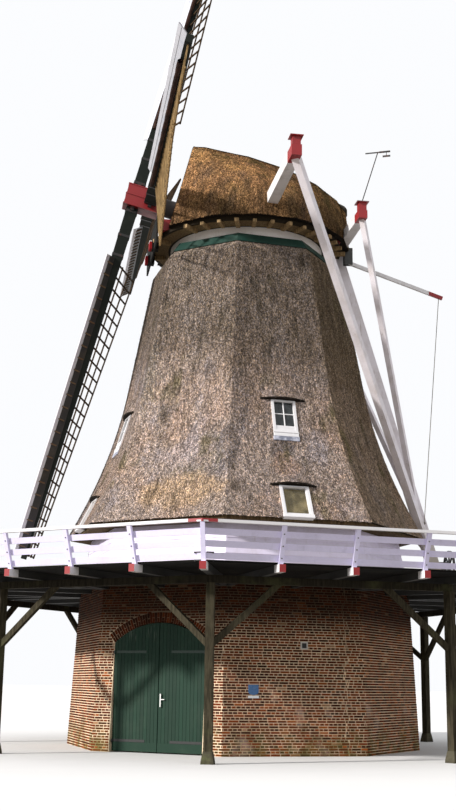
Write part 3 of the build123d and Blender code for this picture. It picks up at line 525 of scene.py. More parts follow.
@finish
def handrail_paint():
    """White handrails with a red and white banded end at each corner."""
    made = Finish("handrail_paint", 0.4)
    across, out, height = made.octagon()
    to_corner = out * tan(SIDE_ANGLE / 2) - abs(across)
    cloud = made.noise(2.4, 4.0)
    grain = made.noise(55.0, 2.0)
    band = to_corner.past(0.031) * (1.0 - to_corner.past(0.131)) * (1.0 - height.past(4.813))
    red = (1.0 - to_corner.past(0.331)) * (1.0 - band)
    mixed = made.mix(made.colours.white, paint(176, 172, 170), cloud.between(0.5, 0.8) * 0.5)
    mixed = made.mix(mixed, made.colours.red, red)
    return made.coat(made.shade(mixed, grain * 0.12 + 0.94), grain, 0.002, 0.5, Roughness=cloud * 0.3 + 0.25)


@finish
def joist_paint():
    """Dark joists with a white band and a red end."""
    made = Finish("joist_paint", 0.6)
    out = made.octagon()[1]
    outward = made.along(made.stretched((1.0, 1.0, 0.0)), made.facing()) / made.radius()
    cloud = made.noise(3.0, 4.0)
    grain = made.noise(50.0, 3.0, 0.6, (1.0, 1.0, 0.3))
    # The joists' near-black is partly painted shade, for the dark under the stage deck.
    mixed = made.mix(paint(20, 18, 15), paint(44, 41, 32), cloud.between(0.45, 0.75) * 0.6)
    mixed = made.mix(mixed, made.colours.white, out.past(7.701))
    mixed = made.mix(mixed, made.colours.red, out.past(7.991) * outward.between(0.75, 0.8))
    return made.coat(made.shade(mixed, grain * 0.3 + 0.84), grain, 0.003, 0.6)


@finish
def old_timber(name, colour, moss):
    """Bare or tarred oak gone dull: open grain, splits and some green."""
    made = Finish(name, 0.85)
    grain = made.noise(22.0, 4.0, 0.65, (1.0, 1.0, 0.12))
    fine = made.noise(90.0, 3.0, 0.6, (0.3, 0.3, 1.0))
    cloud = made.noise(1.3, 4.0, 0.6)
    pale = made.shade(colour, 1.75)
    mixed = made.mix(made.shade(colour, 0.55), pale, grain.between(0.3, 0.75))
    mixed = made.mix(mixed, paint(96, 98, 66), cloud.between(0.5, 0.72) * moss)
    return made.coat(made.shade(mixed, fine * 0.3 + 0.85), grain + fine * 0.4, 0.006, 0.8)


@finish
def boarding(name, colour, grime_colour, wear):
    """Painted boards, each board a little different in tone."""
    made = Finish(name, 0.5)
    made.set(Specular_IOR_Level=0.2)
    tone = made.tone()
    cloud = made.noise(2.1, 4.0, 0.6)
    runs = made.noise(14.0, 3.0, 0.6, (1.0, 1.0, 0.08))
    grain = made.noise(70.0, 2.0, 0.6, (1.0, 1.0, 0.15))
    mixed = made.mix(colour, grime_colour, (cloud.between(0.42, 0.8) + runs.between(0.55, 0.8) * 0.7) * wear)
    return made.coat(made.shade(mixed, tone * 0.28 + grain * 0.16 + 0.78),
                     grain + runs * 0.4, 0.003, 0.6, Roughness=cloud * 0.3 + 0.35)


@finish
def door_boards():
    """Dark green boards, chalky where water runs down from the arch."""
    made = Finish("door_boards", 0.55)
    made.set(Specular_IOR_Level=0.2)
    across, _, height = made.parts()
    cloud = made.noise(2.1, 4.0, 0.6)
    runs = made.noise(24.0, 3.0, 0.6, (1.0, 1.0, 0.05))
    left_leaf = across.between(-1.0, -0.85) * (1.0 - across.between(-0.15, 0.0))
    chalk = runs.between(0.55, 0.62) * height.between(2.5, 2.75) * left_leaf
    grime = cloud.between(0.42, 0.8) * 0.3 + runs.between(0.55, 0.8) * 0.2
    mixed = made.mix(made.colours.door_green, paint(58, 76, 62), grime)
    mixed = made.mix(mixed, paint(118, 128, 118), chalk * 0.6)
    return made.coat(made.shade(mixed, made.tone() * 0.3 + 0.8), runs, 0.003, 0.6)


@finish
def deck_timber():
    """Deck planks: grey with weather above, and nearly black below, partly painted shade for the dark under
    the stage.
    """
    made = Finish("deck_timber", 0.85)
    above = made.parts(made.facing())[2].between(0.2, 0.6)
    grain = made.noise(26.0, 4.0, 0.6)
    cloud = made.noise(1.6, 4.0, 0.6)
    weathered = made.mix(paint(168, 164, 154), paint(126, 124, 98), cloud.between(0.45, 0.75))
    # The near-black underside is partly painted shade, for the dark under the stage deck.
    mixed = made.mix(made.mix(paint(13, 11, 9), paint(34, 32, 24), cloud.between(0.5, 0.8)), weathered, above)
    return made.coat(made.shade(mixed, made.tone() * 0.3 + grain * 0.2 + 0.75), grain, 0.004, 0.6)


@finish
def metal(name, colour, rust, roughness):
    """Painted or bare iron with rust in its pits."""
    made = Finish(name, roughness)
    pits = made.noise(28.0, 5.0, 0.7)
    cloud = made.noise(4.0, 4.0)
    spots = (pits * cloud).between(0.28, 0.36) * rust
    rusty = made.mix(colour, paint(112, 62, 36), spots)
    return made.coat(rusty, pits, 0.003, 0.6, Roughness=pits * 0.3 + (roughness - 0.15))


@finish
def door_irons():
    """Straps painted with the door, the lower ones worn black, and a bright handle."""
    made = Finish("door_irons", 0.45)
    height = made.parts()[2]
    pits = made.noise(28.0, 5.0, 0.7)
    grip = height.between(0.9, 0.92) * (1.0 - height.between(1.5, 1.52))
    green = made.shade(made.colours.door_green, pits * 0.6 + 0.5)
    colour = made.mix(paint(22, 24, 22), green, height.between(1.9, 1.92))
    return made.coat(made.mix(colour, paint(222, 222, 220), grip), pits, 0.003, 0.6, Metallic=grip * 0.6)


@finish
def ring_timber():
    """The underside of the cap's edge: brown boards, with black painted shade at the round curb and under the
    thatch.
    """
    made = Finish("ring_timber", 0.85)
    radius = made.radius()
    grain = made.noise(24.0, 4.0, 0.6)
    colour = made.mix(paint(104, 84, 58), paint(140, 120, 90), grain.between(0.3, 0.7))
    # Painted shade: black bands for the gap at the curb and the overhang of the thatch.
    dark = radius.between(2.6, 2.66) + (1.0 - radius.between(2.23, 2.25))
    return made.coat(made.mix(colour, paint(22, 20, 17), dark * 0.92), grain, 0.004, 0.6)


@finish
def lead_sheet():
    """Grey lead flashing with white bloom."""
    made = Finish("lead_sheet", 0.55)
    cloud = made.noise(9.0, 4.0)
    bloom = made.mix(paint(122, 126, 142), paint(196, 198, 212), cloud.between(0.4, 0.7))
    return made.coat(bloom, cloud, 0.006, 0.5, Metallic=0.2)


@finish
def pane():
    """Old window glass over a dark room."""
    made = Finish("pane", 0.06)
    ripple = made.noise(6.0, 2.0)
    shown = made.mix(paint(38, 42, 44), paint(62, 68, 70), ripple.between(0.35, 0.7))
    return made.coat(shown, ripple, 0.004, 0.3, Alpha=made.parts()[2].between(6.9, 7.0) * 0.6 + 0.18)


@finish
def rubble_stone(colour):
    """Rough stone with moss in its hollows."""
    made = Finish("rubble_stone", 0.9)
    coarse, fine = made.noise(6.0, 5.0, 0.65), made.noise(60.0, 4.0)
    mixed = made.mix(made.shade(colour, 0.6), made.shade(colour, 1.25), coarse.between(0.3, 0.7))
    mixed = made.mix(mixed, paint(92, 98, 62), made.noise(3.0, 4.0).between(0.52, 0.7) * 0.6)
    return made.coat(made.shade(mixed, fine * 0.4 + 0.8), coarse + fine * 0.4, 0.02, 0.8)


def black_iron():
    """The dark iron of straps, bolts and the vane."""
    return metal("black_iron", paint(34, 33, 33), 0.5, 0.6)


@finish
def canvas(name, colour, weave):
    """Woven cloth or laid rope, dirty in its folds."""
    made = Finish(name, 0.92)
    x, y, z = made.parts()
    threads = ((x + y) * weave).math("SINE") * (z * weave).math("SINE")
    cloud = made.noise(3.2, 4.0, 0.6)
    mixed = made.mix(made.shade(colour, 0.5), made.shade(colour, 1.5), cloud.between(0.3, 0.72))
    return made.coat(made.shade(mixed, threads * 0.12 + 0.95), threads * 0.5 + cloud, 0.004, 0.6)


def hemp_rope():
    """Grey laid rope."""
    return canvas("hemp_rope", paint(150, 144, 134), 1400.0)


CORNERS = ((-1, -1), (1, -1), (1, 1), (-1, 1))


class Shape:
    """Gathers blocks, each with its own tone, into one piece."""

    def __init__(self):
        self.points, self.faces, self.tones = [], [], []

    def prism(self, low, high, tone=0.5, closed=(True, True)):
        """A solid between two loops of points that run the same way round."""
        start, count = len(self.points), len(low)
        self.points += [*low, *high]
        faces = [
            (start + n, start + (n + 1) % count, start + count + (n + 1) % count, start + count + n)
            for n in range(count)
        ]
        if closed[0]:
            faces.append(tuple(start + n for n in reversed(range(count))))
        if closed[1]:
            faces.append(tuple(start + count + n for n in range(count)))
        self.faces += faces
        self.tones += [tone] * len(faces)

    def block(self, place, x, y, z, tone=0.5):
        """A box between limits, in the frame that place gives."""
        loop = [(x[0], y[0]), (x[1], y[0]), (x[1], y[1]), (x[0], y[1])]
        self.prism([place(a, b, z[0]) for a, b in loop], [place(a, b, z[1]) for a, b in loop], tone)

    def bar(self, start, end, across, width, depth):
        """A straight bar from start to end, its width along across."""
        start, end, across = Vector(start), Vector(end), Vector(across).normalized()
        over = (end - start).normalized().cross(across)
        corners = [across * a * width / 2 + over * b * depth / 2 for a, b in CORNERS]
        self.prism([start + c for c in corners], [end + c for c in corners])

    def rod(self, start, end, radius, count=10):
        """A round bar from start to end."""
        line = (end - start).normalized()
        one = line.orthogonal().normalized()
        other = line.cross(one)
        ring = [one * cos(2 * pi * n / count) + other * sin(2 * pi * n / count) for n in range(count)]
        self.prism([start + r * radius for r in ring], [end + r * radius for r in ring])

    def piece(self, name, body, slot, material, stands_for=(), edge=0.0):
        mesh = bpy.data.meshes.new(name)
        mesh.from_pydata([tuple(p) for p in self.points], [], self.faces)
        tone = mesh.attributes.new("tone", "FLOAT", "FACE")
        tone.data.foreach_set("value", self.tones)
        return settle(name, mesh, body, material, stands_for, edge)


def settle(name, mesh, body, material, stands_for=(), edge=0.0, smooth=False):
    """Gives a mesh its object, material and body."""
    mesh.materials.append(material)
    if smooth:
        mesh.shade_smooth()
    thing = bpy.data.objects.new(name, mesh)
    bpy.context.scene.collection.objects.link(thing)
    if edge:
        softened = thing.modifiers.new("edge", "BEVEL")
        softened.width, softened.segments, softened.limit_method = edge, 1, "ANGLE"
        softened.angle_limit = radians(40)
    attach(thing, body)
    if stands_for:
        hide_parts(*stands_for)
    return thing


def wall_place(side):
    """Places points on a side of the brick base: across, out of the wall face, and height."""
    def at(across, out, height):
        return on_side(side, across, flat(BASE_RADIUS - BASE_BATTER * height) + out, height)
    return at


def door_edge(height):
    """Half the width that the doorway and its arch ring take at a height."""
    ring = DOOR_ARCH + ARCH_RING
    if height < DOOR_SPRING:
        return DOOR_HALF
    slope_top = DOOR_MIDDLE + ring * cos(asin(DOOR_HALF / DOOR_ARCH))
    if height < slope_top:
        share = (height - DOOR_SPRING) / (slope_top - DOOR_SPRING)
        return DOOR_HALF + share * ARCH_RING * DOOR_HALF / DOOR_ARCH
    return sqrt(max(0.0, ring**2 - (height - DOOR_MIDDLE) ** 2))


def crack_at(height):
    """Where the mended crack crosses the second side."""
    return 1.28 + 0.05 * sin(height * 9.0) + 0.03 * sin(height * 23.0 + 1.0)


class MILL_OT_bricks(bpy.types.Operator):
    """Lay the base's courses of stretchers and headers, and the arch over the door"""

    bl_idname = "mill.bricks"
    bl_label = "Bricks"

    def execute(self, context):
        sizes = context.scene.mill_sizes
        rng = random.Random(7)
        shape = Shape()
        course, gap = sizes.course_height, sizes.joint_width
        proud, uneven, ease, sunk, least, crack_width = 0.007, 0.002, 0.003, 0.003, 0.02, 0.016
        courses = floor((BASE_HEIGHT - 0.01) / course)
        for side in range(SIDES):
            at = wall_place(side)
            for row in range(courses):
                low, high = row * course + gap / 2, (row + 1) * course - gap / 2
                middle = (low + high) / 2
                reach = flat(BASE_RADIUS - BASE_BATTER * middle) * tan(SIDE_ANGLE / 2) + 0.002
                header = (sizes.brick_length - gap) / 2
                module = header + gap / 2 if row % 2 else sizes.brick_length + gap
                first = -ceil(reach / module) * module + rng.uniform(-0.5, 0.5) * module
                stop = door_edge(middle) + gap if side == 0 else 0.0
                runs = [(-reach, -stop), (stop, reach)] if stop > gap else [(-reach, reach)]
                if side == 1:
                    crack = crack_at(middle)
                    runs = [(-reach, crack - crack_width / 2), (crack + crack_width / 2, reach)]
                for left, right in runs:
                    start = first
                    while start < right:
                        length = module * rng.uniform(0.94, 1.06)
                        x0, x1 = max(start + gap / 2, left), min(start + length - gap / 2, right)
                        start += length
                        if x1 - x0 < least:
                            continue
                        sit = proud + rng.uniform(-uneven, uneven)
                        back = [(x0, low), (x1, low), (x1, high), (x0, high)]
                        front = [(x0 + ease, low + ease), (x1 - ease, low + ease),
                                 (x1 - ease, high - ease), (x0 + ease, high - ease)]
                        shape.prism([at(x, -sunk, z) for x, z in back], [at(x, sit, z) for x, z in front],
                                    min(1.0, max(0.0, rng.gauss(0.5, 0.2))), (False, True))
        self.lay_arch(shape, rng)
        shape.piece("wall_bricks", "tower", "brick", brick_face())
        return {"FINISHED"}

    def lay_arch(self, shape, rng):
        """The ring of bricks on edge over the door."""
        span = asin(DOOR_HALF / DOOR_ARCH)
        proud, uneven, sunk = 0.009, 0.002, 0.003
        at = wall_place(0)
        count, whole, halves = 43, ((0.0, 0.24),), ((0.0, 0.115), (0.125, 0.24))
        for n in range(count):
            low, high = (-span + 2 * span * (n + share) / count for share in (0.09, 0.91))
            for inner, outer in whole if n % 2 else halves:
                loop = [(inner, low), (inner, high), (outer, high), (outer, low)]
                points = [((DOOR_ARCH + r) * sin(a), DOOR_MIDDLE + (DOOR_ARCH + r) * cos(a)) for r, a in loop]
                out = proud + rng.uniform(-uneven, uneven)
                shape.prism([at(x, -sunk, z) for x, z in points], [at(x, out, z) for x, z in points],
                            rng.uniform(0.15, 0.75), (False, True))


def scatter(nodes, count, seed, keep):
    """Random points on the solids' skin, each with its surface direction."""
    rng = np.random.default_rng(seed)
    corners = []
    for name in nodes:
        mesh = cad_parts[name].data
        mesh.calc_loop_triangles()
        places = np.empty(len(mesh.vertices) * 3)
        mesh.vertices.foreach_get("co", places)
        index = np.empty(len(mesh.loop_triangles) * 3, int)
        mesh.loop_triangles.foreach_get("vertices", index)
        corners.append(places.reshape(-1, 3)[index.reshape(-1, 3)])
    corners = np.concatenate(corners)
    normals = np.cross(corners[:, 1] - corners[:, 0], corners[:, 2] - corners[:, 0])
    areas = np.linalg.norm(normals, axis=1)
    good = areas > 1e-9
    corners, normals, areas = corners[good], normals[good], areas[good]
    normals = normals / areas[:, None]
    good = keep(corners.mean(axis=1), normals)
    corners, normals, areas = corners[good], normals[good], areas[good]
    picked = rng.choice(len(areas), count, p=areas / areas.sum())
    u, v = rng.random(count), rng.random(count)
    over = u + v > 1
    u[over], v[over] = 1 - u[over], 1 - v[over]
    a, b, c = (corners[picked, n] for n in range(3))
    return a + u[:, None] * (b - a) + v[:, None] * (c - a), normals[picked], rng


def reed_blades(name, nodes, body, material, count, seed, keep, length, width):
    """Cut reed ends lying down the slope, each a narrow blade that lifts a little at its butt."""
    roots, normals, rng = scatter(nodes, count, seed, keep)
    fall = np.array([0.0, 0.0, -1.0])
    down = fall - normals * (normals @ fall)[:, None]
    down /= np.maximum(np.linalg.norm(down, axis=1), 1e-6)[:, None]
    side = np.cross(normals, down)
    down = down + side * rng.normal(0.0, 0.22, count)[:, None]
    side = np.cross(normals, down)
    size = length * rng.uniform(0.6, 1.3, count)[:, None]
    half = width * rng.uniform(0.5, 1.2, count)[:, None] / 2
    lift = rng.uniform(0.004, 0.016, count)[:, None]
    tops = roots - down * size * 0.5 - normals * 0.004
    butts = roots + down * size * 0.5 + normals * lift
    points = np.stack([tops, butts - side * half, butts + side * half], axis=1).reshape(-1, 3)
    mesh = bpy.data.meshes.new(name)
    mesh.from_pydata(points.tolist(), [], np.arange(count * 3).reshape(-1, 3).tolist())
    tone = mesh.attributes.new("tone", "FLOAT", "FACE")
    tone.data.foreach_set("value", rng.beta(2.2, 2.2, count).astype(np.float32))
    return settle(name, mesh, body, material)


class MILL_OT_reed(bpy.types.Operator):
    """Cover the smock and the cap with cut reed ends"""

    bl_idname = "mill.reed"
    bl_label = "Reed"

    def execute(self, context):
        sizes = context.scene.mill_sizes
        share = 1.0
        inner_radius, top, cap_middle = 2.4, 13.05, np.array([[0.0, 0.0, 14.0]])

        def outside(middles, normals):
            radius = np.linalg.norm(middles[:, :2], axis=1)
            outward = middles[:, :2] / np.maximum(radius, 1e-6)[:, None]
            facing = (normals[:, :2] * outward).sum(axis=1) > 0.45
            return facing & (radius > inner_radius) & (middles[:, 2] < top)

        def cap_skin(middles, normals):
            return ((normals * (cap_middle - middles)).sum(axis=1) < -0.2) & (normals[:, 2] > -0.2)

        smock, cap = (int(count * share) for count in (sizes.smock_reeds, sizes.cap_reeds))
        halves = ("cap_thatch_left", "cap_thatch_right")
        for name, nodes, body, slot, kind, count, seed, keep in (
            ("smock_reed_1", ("thatch_window_sides",), "tower", "thatch", "smock_reed", smock, 11, outside),
            ("smock_reed_2", ("thatch_plain_sides",), "tower", "thatch", "smock_reed", smock, 12, outside),
            ("cap_reed", halves, "cap", "cap_thatch", "cap_reed", cap, 23, cap_skin),
        ):
            reed_blades(name, nodes, body, reed(kind, True), count, seed, keep,
                        sizes.reed_length, sizes.reed_width)
        return {"FINISHED"}


class MILL_OT_deck(bpy.types.Operator):
    """Board the stage: planks laid along each side, mitred at the corners"""

    bl_idname = "mill.deck"
    bl_label = "Stage deck"

    def execute(self, context):
        rng = random.Random(3)
        shape = Shape()
        rows, gap = 20, 0.004
        inner, outer = flat(BASE_RADIUS - BASE_BATTER * BASE_HEIGHT) + gap, flat(DECK_RADIUS)
        width = (outer - inner) / rows
        for side in range(SIDES):
            for row in range(rows):
                near, far = inner + row * width + gap, inner + (row + 1) * width - gap
                if row == rows - 1:
                    far = outer
                near_end, far_end = (r * tan(SIDE_ANGLE / 2) - gap for r in (near, far))
                loop = [(-near_end, near), (near_end, near), (far_end, far), (-far_end, far)]
                drop = rng.uniform(0.0, gap)
                shape.prism([on_side(side, x, r, DECK_LOW) for x, r in loop],
                            [on_side(side, x, r, DECK_HIGH - drop) for x, r in loop], rng.random())
        shape.piece("deck_planks", "tower", "deck_timber", deck_timber(), ("stage_deck",), edge=0.004)
        return {"FINISHED"}


class MILL_OT_wall_boards(bpy.types.Operator):
    """Clad the wall above the stage in lapped white boards"""

    bl_idname = "mill.wall_boards"
    bl_label = "Wall boards"

    def execute(self, context):
        rng = random.Random(5)
        shape = Shape()
        low, high, board, lap, behind = DECK_HIGH + 0.01, SMOCK_LOW - 0.085, 0.19, 0.02, 0.01
        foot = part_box("boarded_wall")[0]
        radius_low = -foot.y / cos(SIDE_ANGLE / 2)
        for side in range(SIDES):
            z = low
            while z < high:
                top = min(z + board + lap, high)
                loops = []
                for lift, height in ((0.022, z), (0.006, top)):
                    out = flat(radius_low - WALL_TAPER * (height - BASE_HEIGHT))
                    half = (out + lift) * tan(SIDE_ANGLE / 2)
                    loops.append((out, lift, half, height))
                (o0, l0, h0, z0), (o1, l1, h1, z1) = loops
                left, right = (
                    [on_side(side, k * h0, o0 - behind, z0), on_side(side, k * h0, o0 + l0, z0),
                     on_side(side, k * h1, o1 + l1, z1), on_side(side, k * h1, o1 - behind, z1)]
                    for k in (-1, 1)
                )
                shape.prism(left, right, rng.random())
                z += board
        # The lavender in this white is painted shade: the blue of skylight on the shaded boards.
        shape.piece("wall_cladding", "tower", "white_boards", boarding(
            "wall_paint", paint(224, 216, 238), paint(170, 160, 158), 0.35))
        return {"FINISHED"}


def weave_faces(rows, columns):
    """The faces of a sheet whose points lie row by row."""
    row = columns + 1
    return [(j * row + i, j * row + i + 1, (j + 1) * row + i + 1, (j + 1) * row + i)
            for j in range(rows) for i in range(columns)]


def window_place(window, side):
    """Places points on a window: across, up the thatch and out of it."""
    low, high = window[:2]
    foot, head = flat(thatch_radius(low)), flat(thatch_radius(high))
    length = hypot(high - low, foot - head)
    lean, rise = (foot - head) / length, (high - low) / length

    def at(across, up, out):
        return on_side(side, across, foot - up * lean + out * rise, low + up * rise + out * lean)
    return at, length


LOWER_WINDOW = (5.49, 6.33, 0.76)
UPPER_WINDOW = (7.75, 8.66, 0.65)


class MILL_OT_windows(bpy.types.Operator):
    """Fit glazing bars, rails, sills, flashing and the blinds"""

    bl_idname = "mill.windows"
    bl_label = "Windows"

    def execute(self, context):
        colours = context.scene.mill_colours
        white = painted("window_paint", colours.white, paint(170, 164, 160), 0.35, 0.4)
        bars, flashing, brows = Shape(), Shape(), Shape()
        inner, face, half = 0.255, WINDOW_PROUD, 0.012
        for side in WINDOW_SIDES:
            at, length = window_place(UPPER_WINDOW, side)
            middle = (0.19 + length - 0.07) / 2
            bars.block(at, (-half, half), (0.17, length - 0.06), (face - 0.075, face - 0.03))
            bars.block(at, (-inner, inner), (middle - half, middle + half), (face - 0.078, face - 0.033))
            bars.block(at, (-inner, inner), (0.06, 0.19), (face - 0.09, face - 0.012))
            bars.block(at, (-0.34, 0.34), (-0.018, 0.012), (face - 0.03, face + 0.018))
            bars.block(at, (-0.33, 0.33), (-0.115, -0.022), (face - 0.02, face + 0.008))
            flashing.block(at, (-0.345, 0.345), (-0.235, -0.12), (face - 0.04, face + 0.012))
            at, length = window_place(LOWER_WINDOW, side)
            bars.block(at, (-0.395, 0.395), (-0.012, 0.085), (face - 0.04, face + 0.02))
            bars.block(at, (-0.31, 0.31), (0.1, 0.125), (face - 0.07, face - 0.02))
            for stile in ((0.285, 0.31), (-0.31, -0.285)):
                bars.block(at, stile, (0.1, length - 0.06), (face - 0.07, face - 0.02))
            self.hang_blind(side, at, length)
            for window in (LOWER_WINDOW, UPPER_WINDOW):
                self.edge_brow(brows, window, side)
        # The brows' near-black is painted shade under the raised thatch.
        brows.piece("brow_edges", "tower", "thatch", old_timber("brow_shade", paint(26, 21, 16), 0.0))
        bars.piece("window_joinery", "tower", "white_paint", white, edge=0.003)
        flashing.piece("window_flashing", "tower", "white_paint", lead_sheet(), edge=0.006)
        return {"FINISHED"}

    def edge_brow(self, shape, window, side):
        """The cut lower edge of the thatch raised over a window, near black as painted shade."""
        at, length = window_place(window, side)
        half, height, count = 0.6, 0.12, 24
        for n in range(count):
            loops = []
            for x in (-half + n * 2 * half / count, -half + (n + 1) * 2 * half / count):
                rise = height * (1 - (x / half) ** 2)
                section = ((-0.012, -0.03), (rise + 0.016, -0.03), (rise + 0.022, 0.012), (-0.012, 0.012))
                loops.append([at(x, length + up, out) for out, up in section])
            shape.prism(*loops, closed=(n == 0, n == count - 1))

    def hang_blind(self, side, at, length):
        """A drawn blind close behind the glass, gently rippled."""
        across, up = 12, 16
        width, height = 0.6, length - 0.16
        points = [
            at(-width / 2 + width * i / across, 0.08 + height * j / up, -0.062 - 0.004 * sin(9 * i / across))
            for j in range(up + 1) for i in range(across + 1)
        ]
        mesh = bpy.data.meshes.new(f"window_blind_{side}")
        mesh.from_pydata([tuple(p) for p in points], [], weave_faces(up, across))
        blind = settle(f"window_blind_{side}", mesh, "tower",
                       canvas("blind_cloth", paint(176, 160, 118), 900.0), smooth=True)


class MILL_OT_doors(bpy.types.Operator):
    """Make the doors of upright boards with a kick board"""

    bl_idname = "mill.doors"
    bl_label = "Doors"

    def execute(self, context):
        material = door_boards()
        clear, foot, groove = 0.0144, 0.03, 0.005
        head = lambda x: DOOR_MIDDLE - clear + sqrt(DOOR_ARCH**2 - x**2)
        rng = random.Random(9)
        for name, hand in (("left_door", -1), ("right_door", 1)):
            shape = Shape()
            count, first, last = 13, 0.008, DOOR_HALF - 0.013
            step = (last - first) / count
            for n in range(count):
                x0, x1 = first + n * step, first + (n + 1) * step
                tops = [(x, head(x)) for x in (x1, (x0 + x1) / 2, x0)]
                outer = [(x0, foot), (x1, foot), *tops]
                front = [(x0 + groove, foot), (x1 - groove, foot), (x1 - groove, tops[0][1]), tops[1],
                         (x0 + groove, tops[2][1])]
                back = [Vector((hand * x, -LEAF_FACE + LEAF_THICKNESS, z)) for x, z in outer]
                waist = [Vector((hand * x, -LEAF_FACE + 0.006, z)) for x, z in outer]
                face = [Vector((hand * x, -LEAF_FACE, z)) for x, z in front]
                tone = rng.random()
                if hand < 0:
                    back, waist, face = back[::-1], waist[::-1], face[::-1]
                shape.prism(back, waist, tone, (True, False))
                shape.prism(waist, face, tone, (False, True))
            place = lambda x, z, y: Vector((hand * x, -LEAF_FACE - y, z))
            shape.block(place, (first, last), (foot, 0.235), (-0.004, 0.006), 0.6)
            shape.piece(name + "_boards", name, "door_green", material, (name + "_leaf",))
        lever = Shape()
        lever.block(lambda x, z, y: Vector((x, -LEAF_FACE - y, z)), (0.085, 0.2), (1.22, 1.24), (0.036, 0.05))
        lever.piece("door_lever", "right_door", "iron", door_irons(), edge=0.003)
        return {"FINISHED"}


class MILL_OT_stage_fittings(bpy.types.Operator):
    """Add the stage's straps and bolts"""

    bl_idname = "mill.stage_fittings"
    bl_label = "Stage fittings"

    def execute(self, context):
        shape = Shape()
        bay = 2 * DECK_RADIUS * sin(SIDE_ANGLE / 2) / 4
        half, irons, bolts = 0.012, (4.045, 4.2), (4.13, 4.37, 4.61)
        railing = lambda height: flat(DECK_RADIUS + RAIL_LEAN * (height - DECK_LOW))
        for side in range(SIDES):
            at = lambda x, r, z: on_side(side, x, r, z)
            for hand in (-1, 1):
                for height in irons:
                    out = railing(height) + 0.004
                    corner = out * tan(SIDE_ANGLE / 2)
                    ends = sorted((hand * (corner - 0.06), hand * (corner - 0.22)))
                    shape.block(at, ends, (out - 0.002, out + 0.008), (height - half, height + half))
                    knob = hand * (corner - 0.2)
                    shape.block(at, (knob - half, knob + half), (out, out + 0.02),
                                (height - 2 * half, height + half))
            for n in (-1, 0, 1):
                for height in bolts:
                    out = railing(height) + 0.073
                    tip = at(n * bay, out + half, height - 0.003)
                    shape.rod(at(n * bay, out, height), tip, 0.014, count=6)
        shape.piece("stage_irons", "tower", "iron", black_iron())
        return {"FINISHED"}


class MILL_OT_stones(bpy.types.Operator):
    """Set the tapered stones under the stage's posts"""

    bl_idname = "mill.stones"
    bl_label = "Post stones"

    def execute(self, context):
        shape = Shape()
        rng = random.Random(17)
        for side in range(SIDES):
            at = lambda x, r, z: on_side(side + 0.5, x, POST_RING + r, z)
            levels = [[at(a * half, b * half, z) for a, b in CORNERS]
                      for half, z in ((0.14, 0.0), (0.135, 0.06), (0.1, 0.25))]
            tone = rng.random()
            shape.prism(levels[0], levels[1], tone, (True, False))
            shape.prism(levels[1], levels[2], tone, (False, True))
        stone = rubble_stone(paint(84, 80, 66))
        shape.piece("post_stones", "tower", "plinth_stone", stone, ("stage_stones",), edge=0.008)
        return {"FINISHED"}


class MILL_OT_rafter_feet(bpy.types.Operator):
    """Fill in the small rafter feet under the cap's edge"""

    bl_idname = "mill.rafter_feet"
    bl_label = "Rafter feet"

    def execute(self, context):
        shape = Shape()
        count, front, tail = 36, 38, 166
        half, inner, outer, low, high = 0.05, 2.36, 2.8, 13.612, 13.702
        for n in range(count):
            turn = radians((n + 0.5) * 360 / count)
            from_front = abs((degrees(turn) + 180) % 360 - 180)
            # Every third foot is a solid already, and those near the front and the tail are left out
            if n % 3 == 1 or from_front < front or from_front > tail:
                continue
            along, side = cos(turn), sin(turn)
            at = lambda x, r, z: on_cap(r * along - x * side, r * side + x * along, z)
            shape.block(at, (-half, half), (inner, outer), (low, high))
        timber = old_timber("foot_timber", paint(150, 126, 92), 0.1)
        shape.piece("rafter_feet", "cap", "cap_timber", timber, edge=0.006)
        return {"FINISHED"}


class MILL_OT_wall_fittings(bpy.types.Operator):
    """Fix the small vent and the bare shield to the brick"""

    bl_idname = "mill.wall_fittings"
    bl_label = "Wall fittings"

    def execute(self, context):
        at = wall_place(1)
        place = lambda x, z, y: at(x, y, z)
        vent = Shape()
        left, right, low, high, frame_width = 0.15, 0.33, 2.42, 2.6, 0.032
        across, up = (left + frame_width, right - frame_width), (low + frame_width, high - frame_width)
        for x, z in (((left, across[0]), (low, high)), ((across[1], right), (low, high)),
                     (across, (low, up[0])), (across, (up[1], high))):
            vent.block(place, x, z, (0.0, 0.025))
        vent.piece("wall_vent", "tower", "white_paint", painted(
            "vent_paint", paint(226, 222, 216), paint(150, 146, 138), 0.4, 0.5))
        grille = Shape()
        grille.block(place, across, up, (0.0, 0.012))
        for n in range(5):
            low = up[0] + 0.005 + n * 0.023
            grille.block(place, across, (low, low + 0.008), (0.0, 0.02))
        grille.piece("vent_grille", "tower", "iron", black_iron())
        shield = Shape()
        half, low, high, drop = 0.125, 1.365, 1.6, 0.08
        arch = [(half * cos(a), low + drop + drop * sin(a)) for a in (pi + n * pi / 12 for n in range(13))]
        outline = [(half, high), (-half, high), *arch]
        shield.prism([at(x, 0.004, z) for x, z in outline[::-1]], [at(x, 0.02, z) for x, z in outline[::-1]])
        moved = Matrix.Translation(at(-1.02, 0.0, 1.4) - at(0.0, 0.0, 1.4))
        shield.points = [moved @ p for p in shield.points]
        shield.piece("bare_shield", "tower", "white_paint", painted(
            "shield_enamel", paint(48, 92, 140), paint(150, 170, 190), 0.2, 0.3), edge=0.004)
        strip = Shape()
        strip.block(place, (-1.15, -0.89), (1.295, 1.35), (0.004, 0.016))
        strip.piece("bare_strip", "tower", "white_paint", painted(
            "strip_enamel", paint(224, 226, 228), paint(160, 160, 160), 0.2, 0.3))
        return {"FINISHED"}


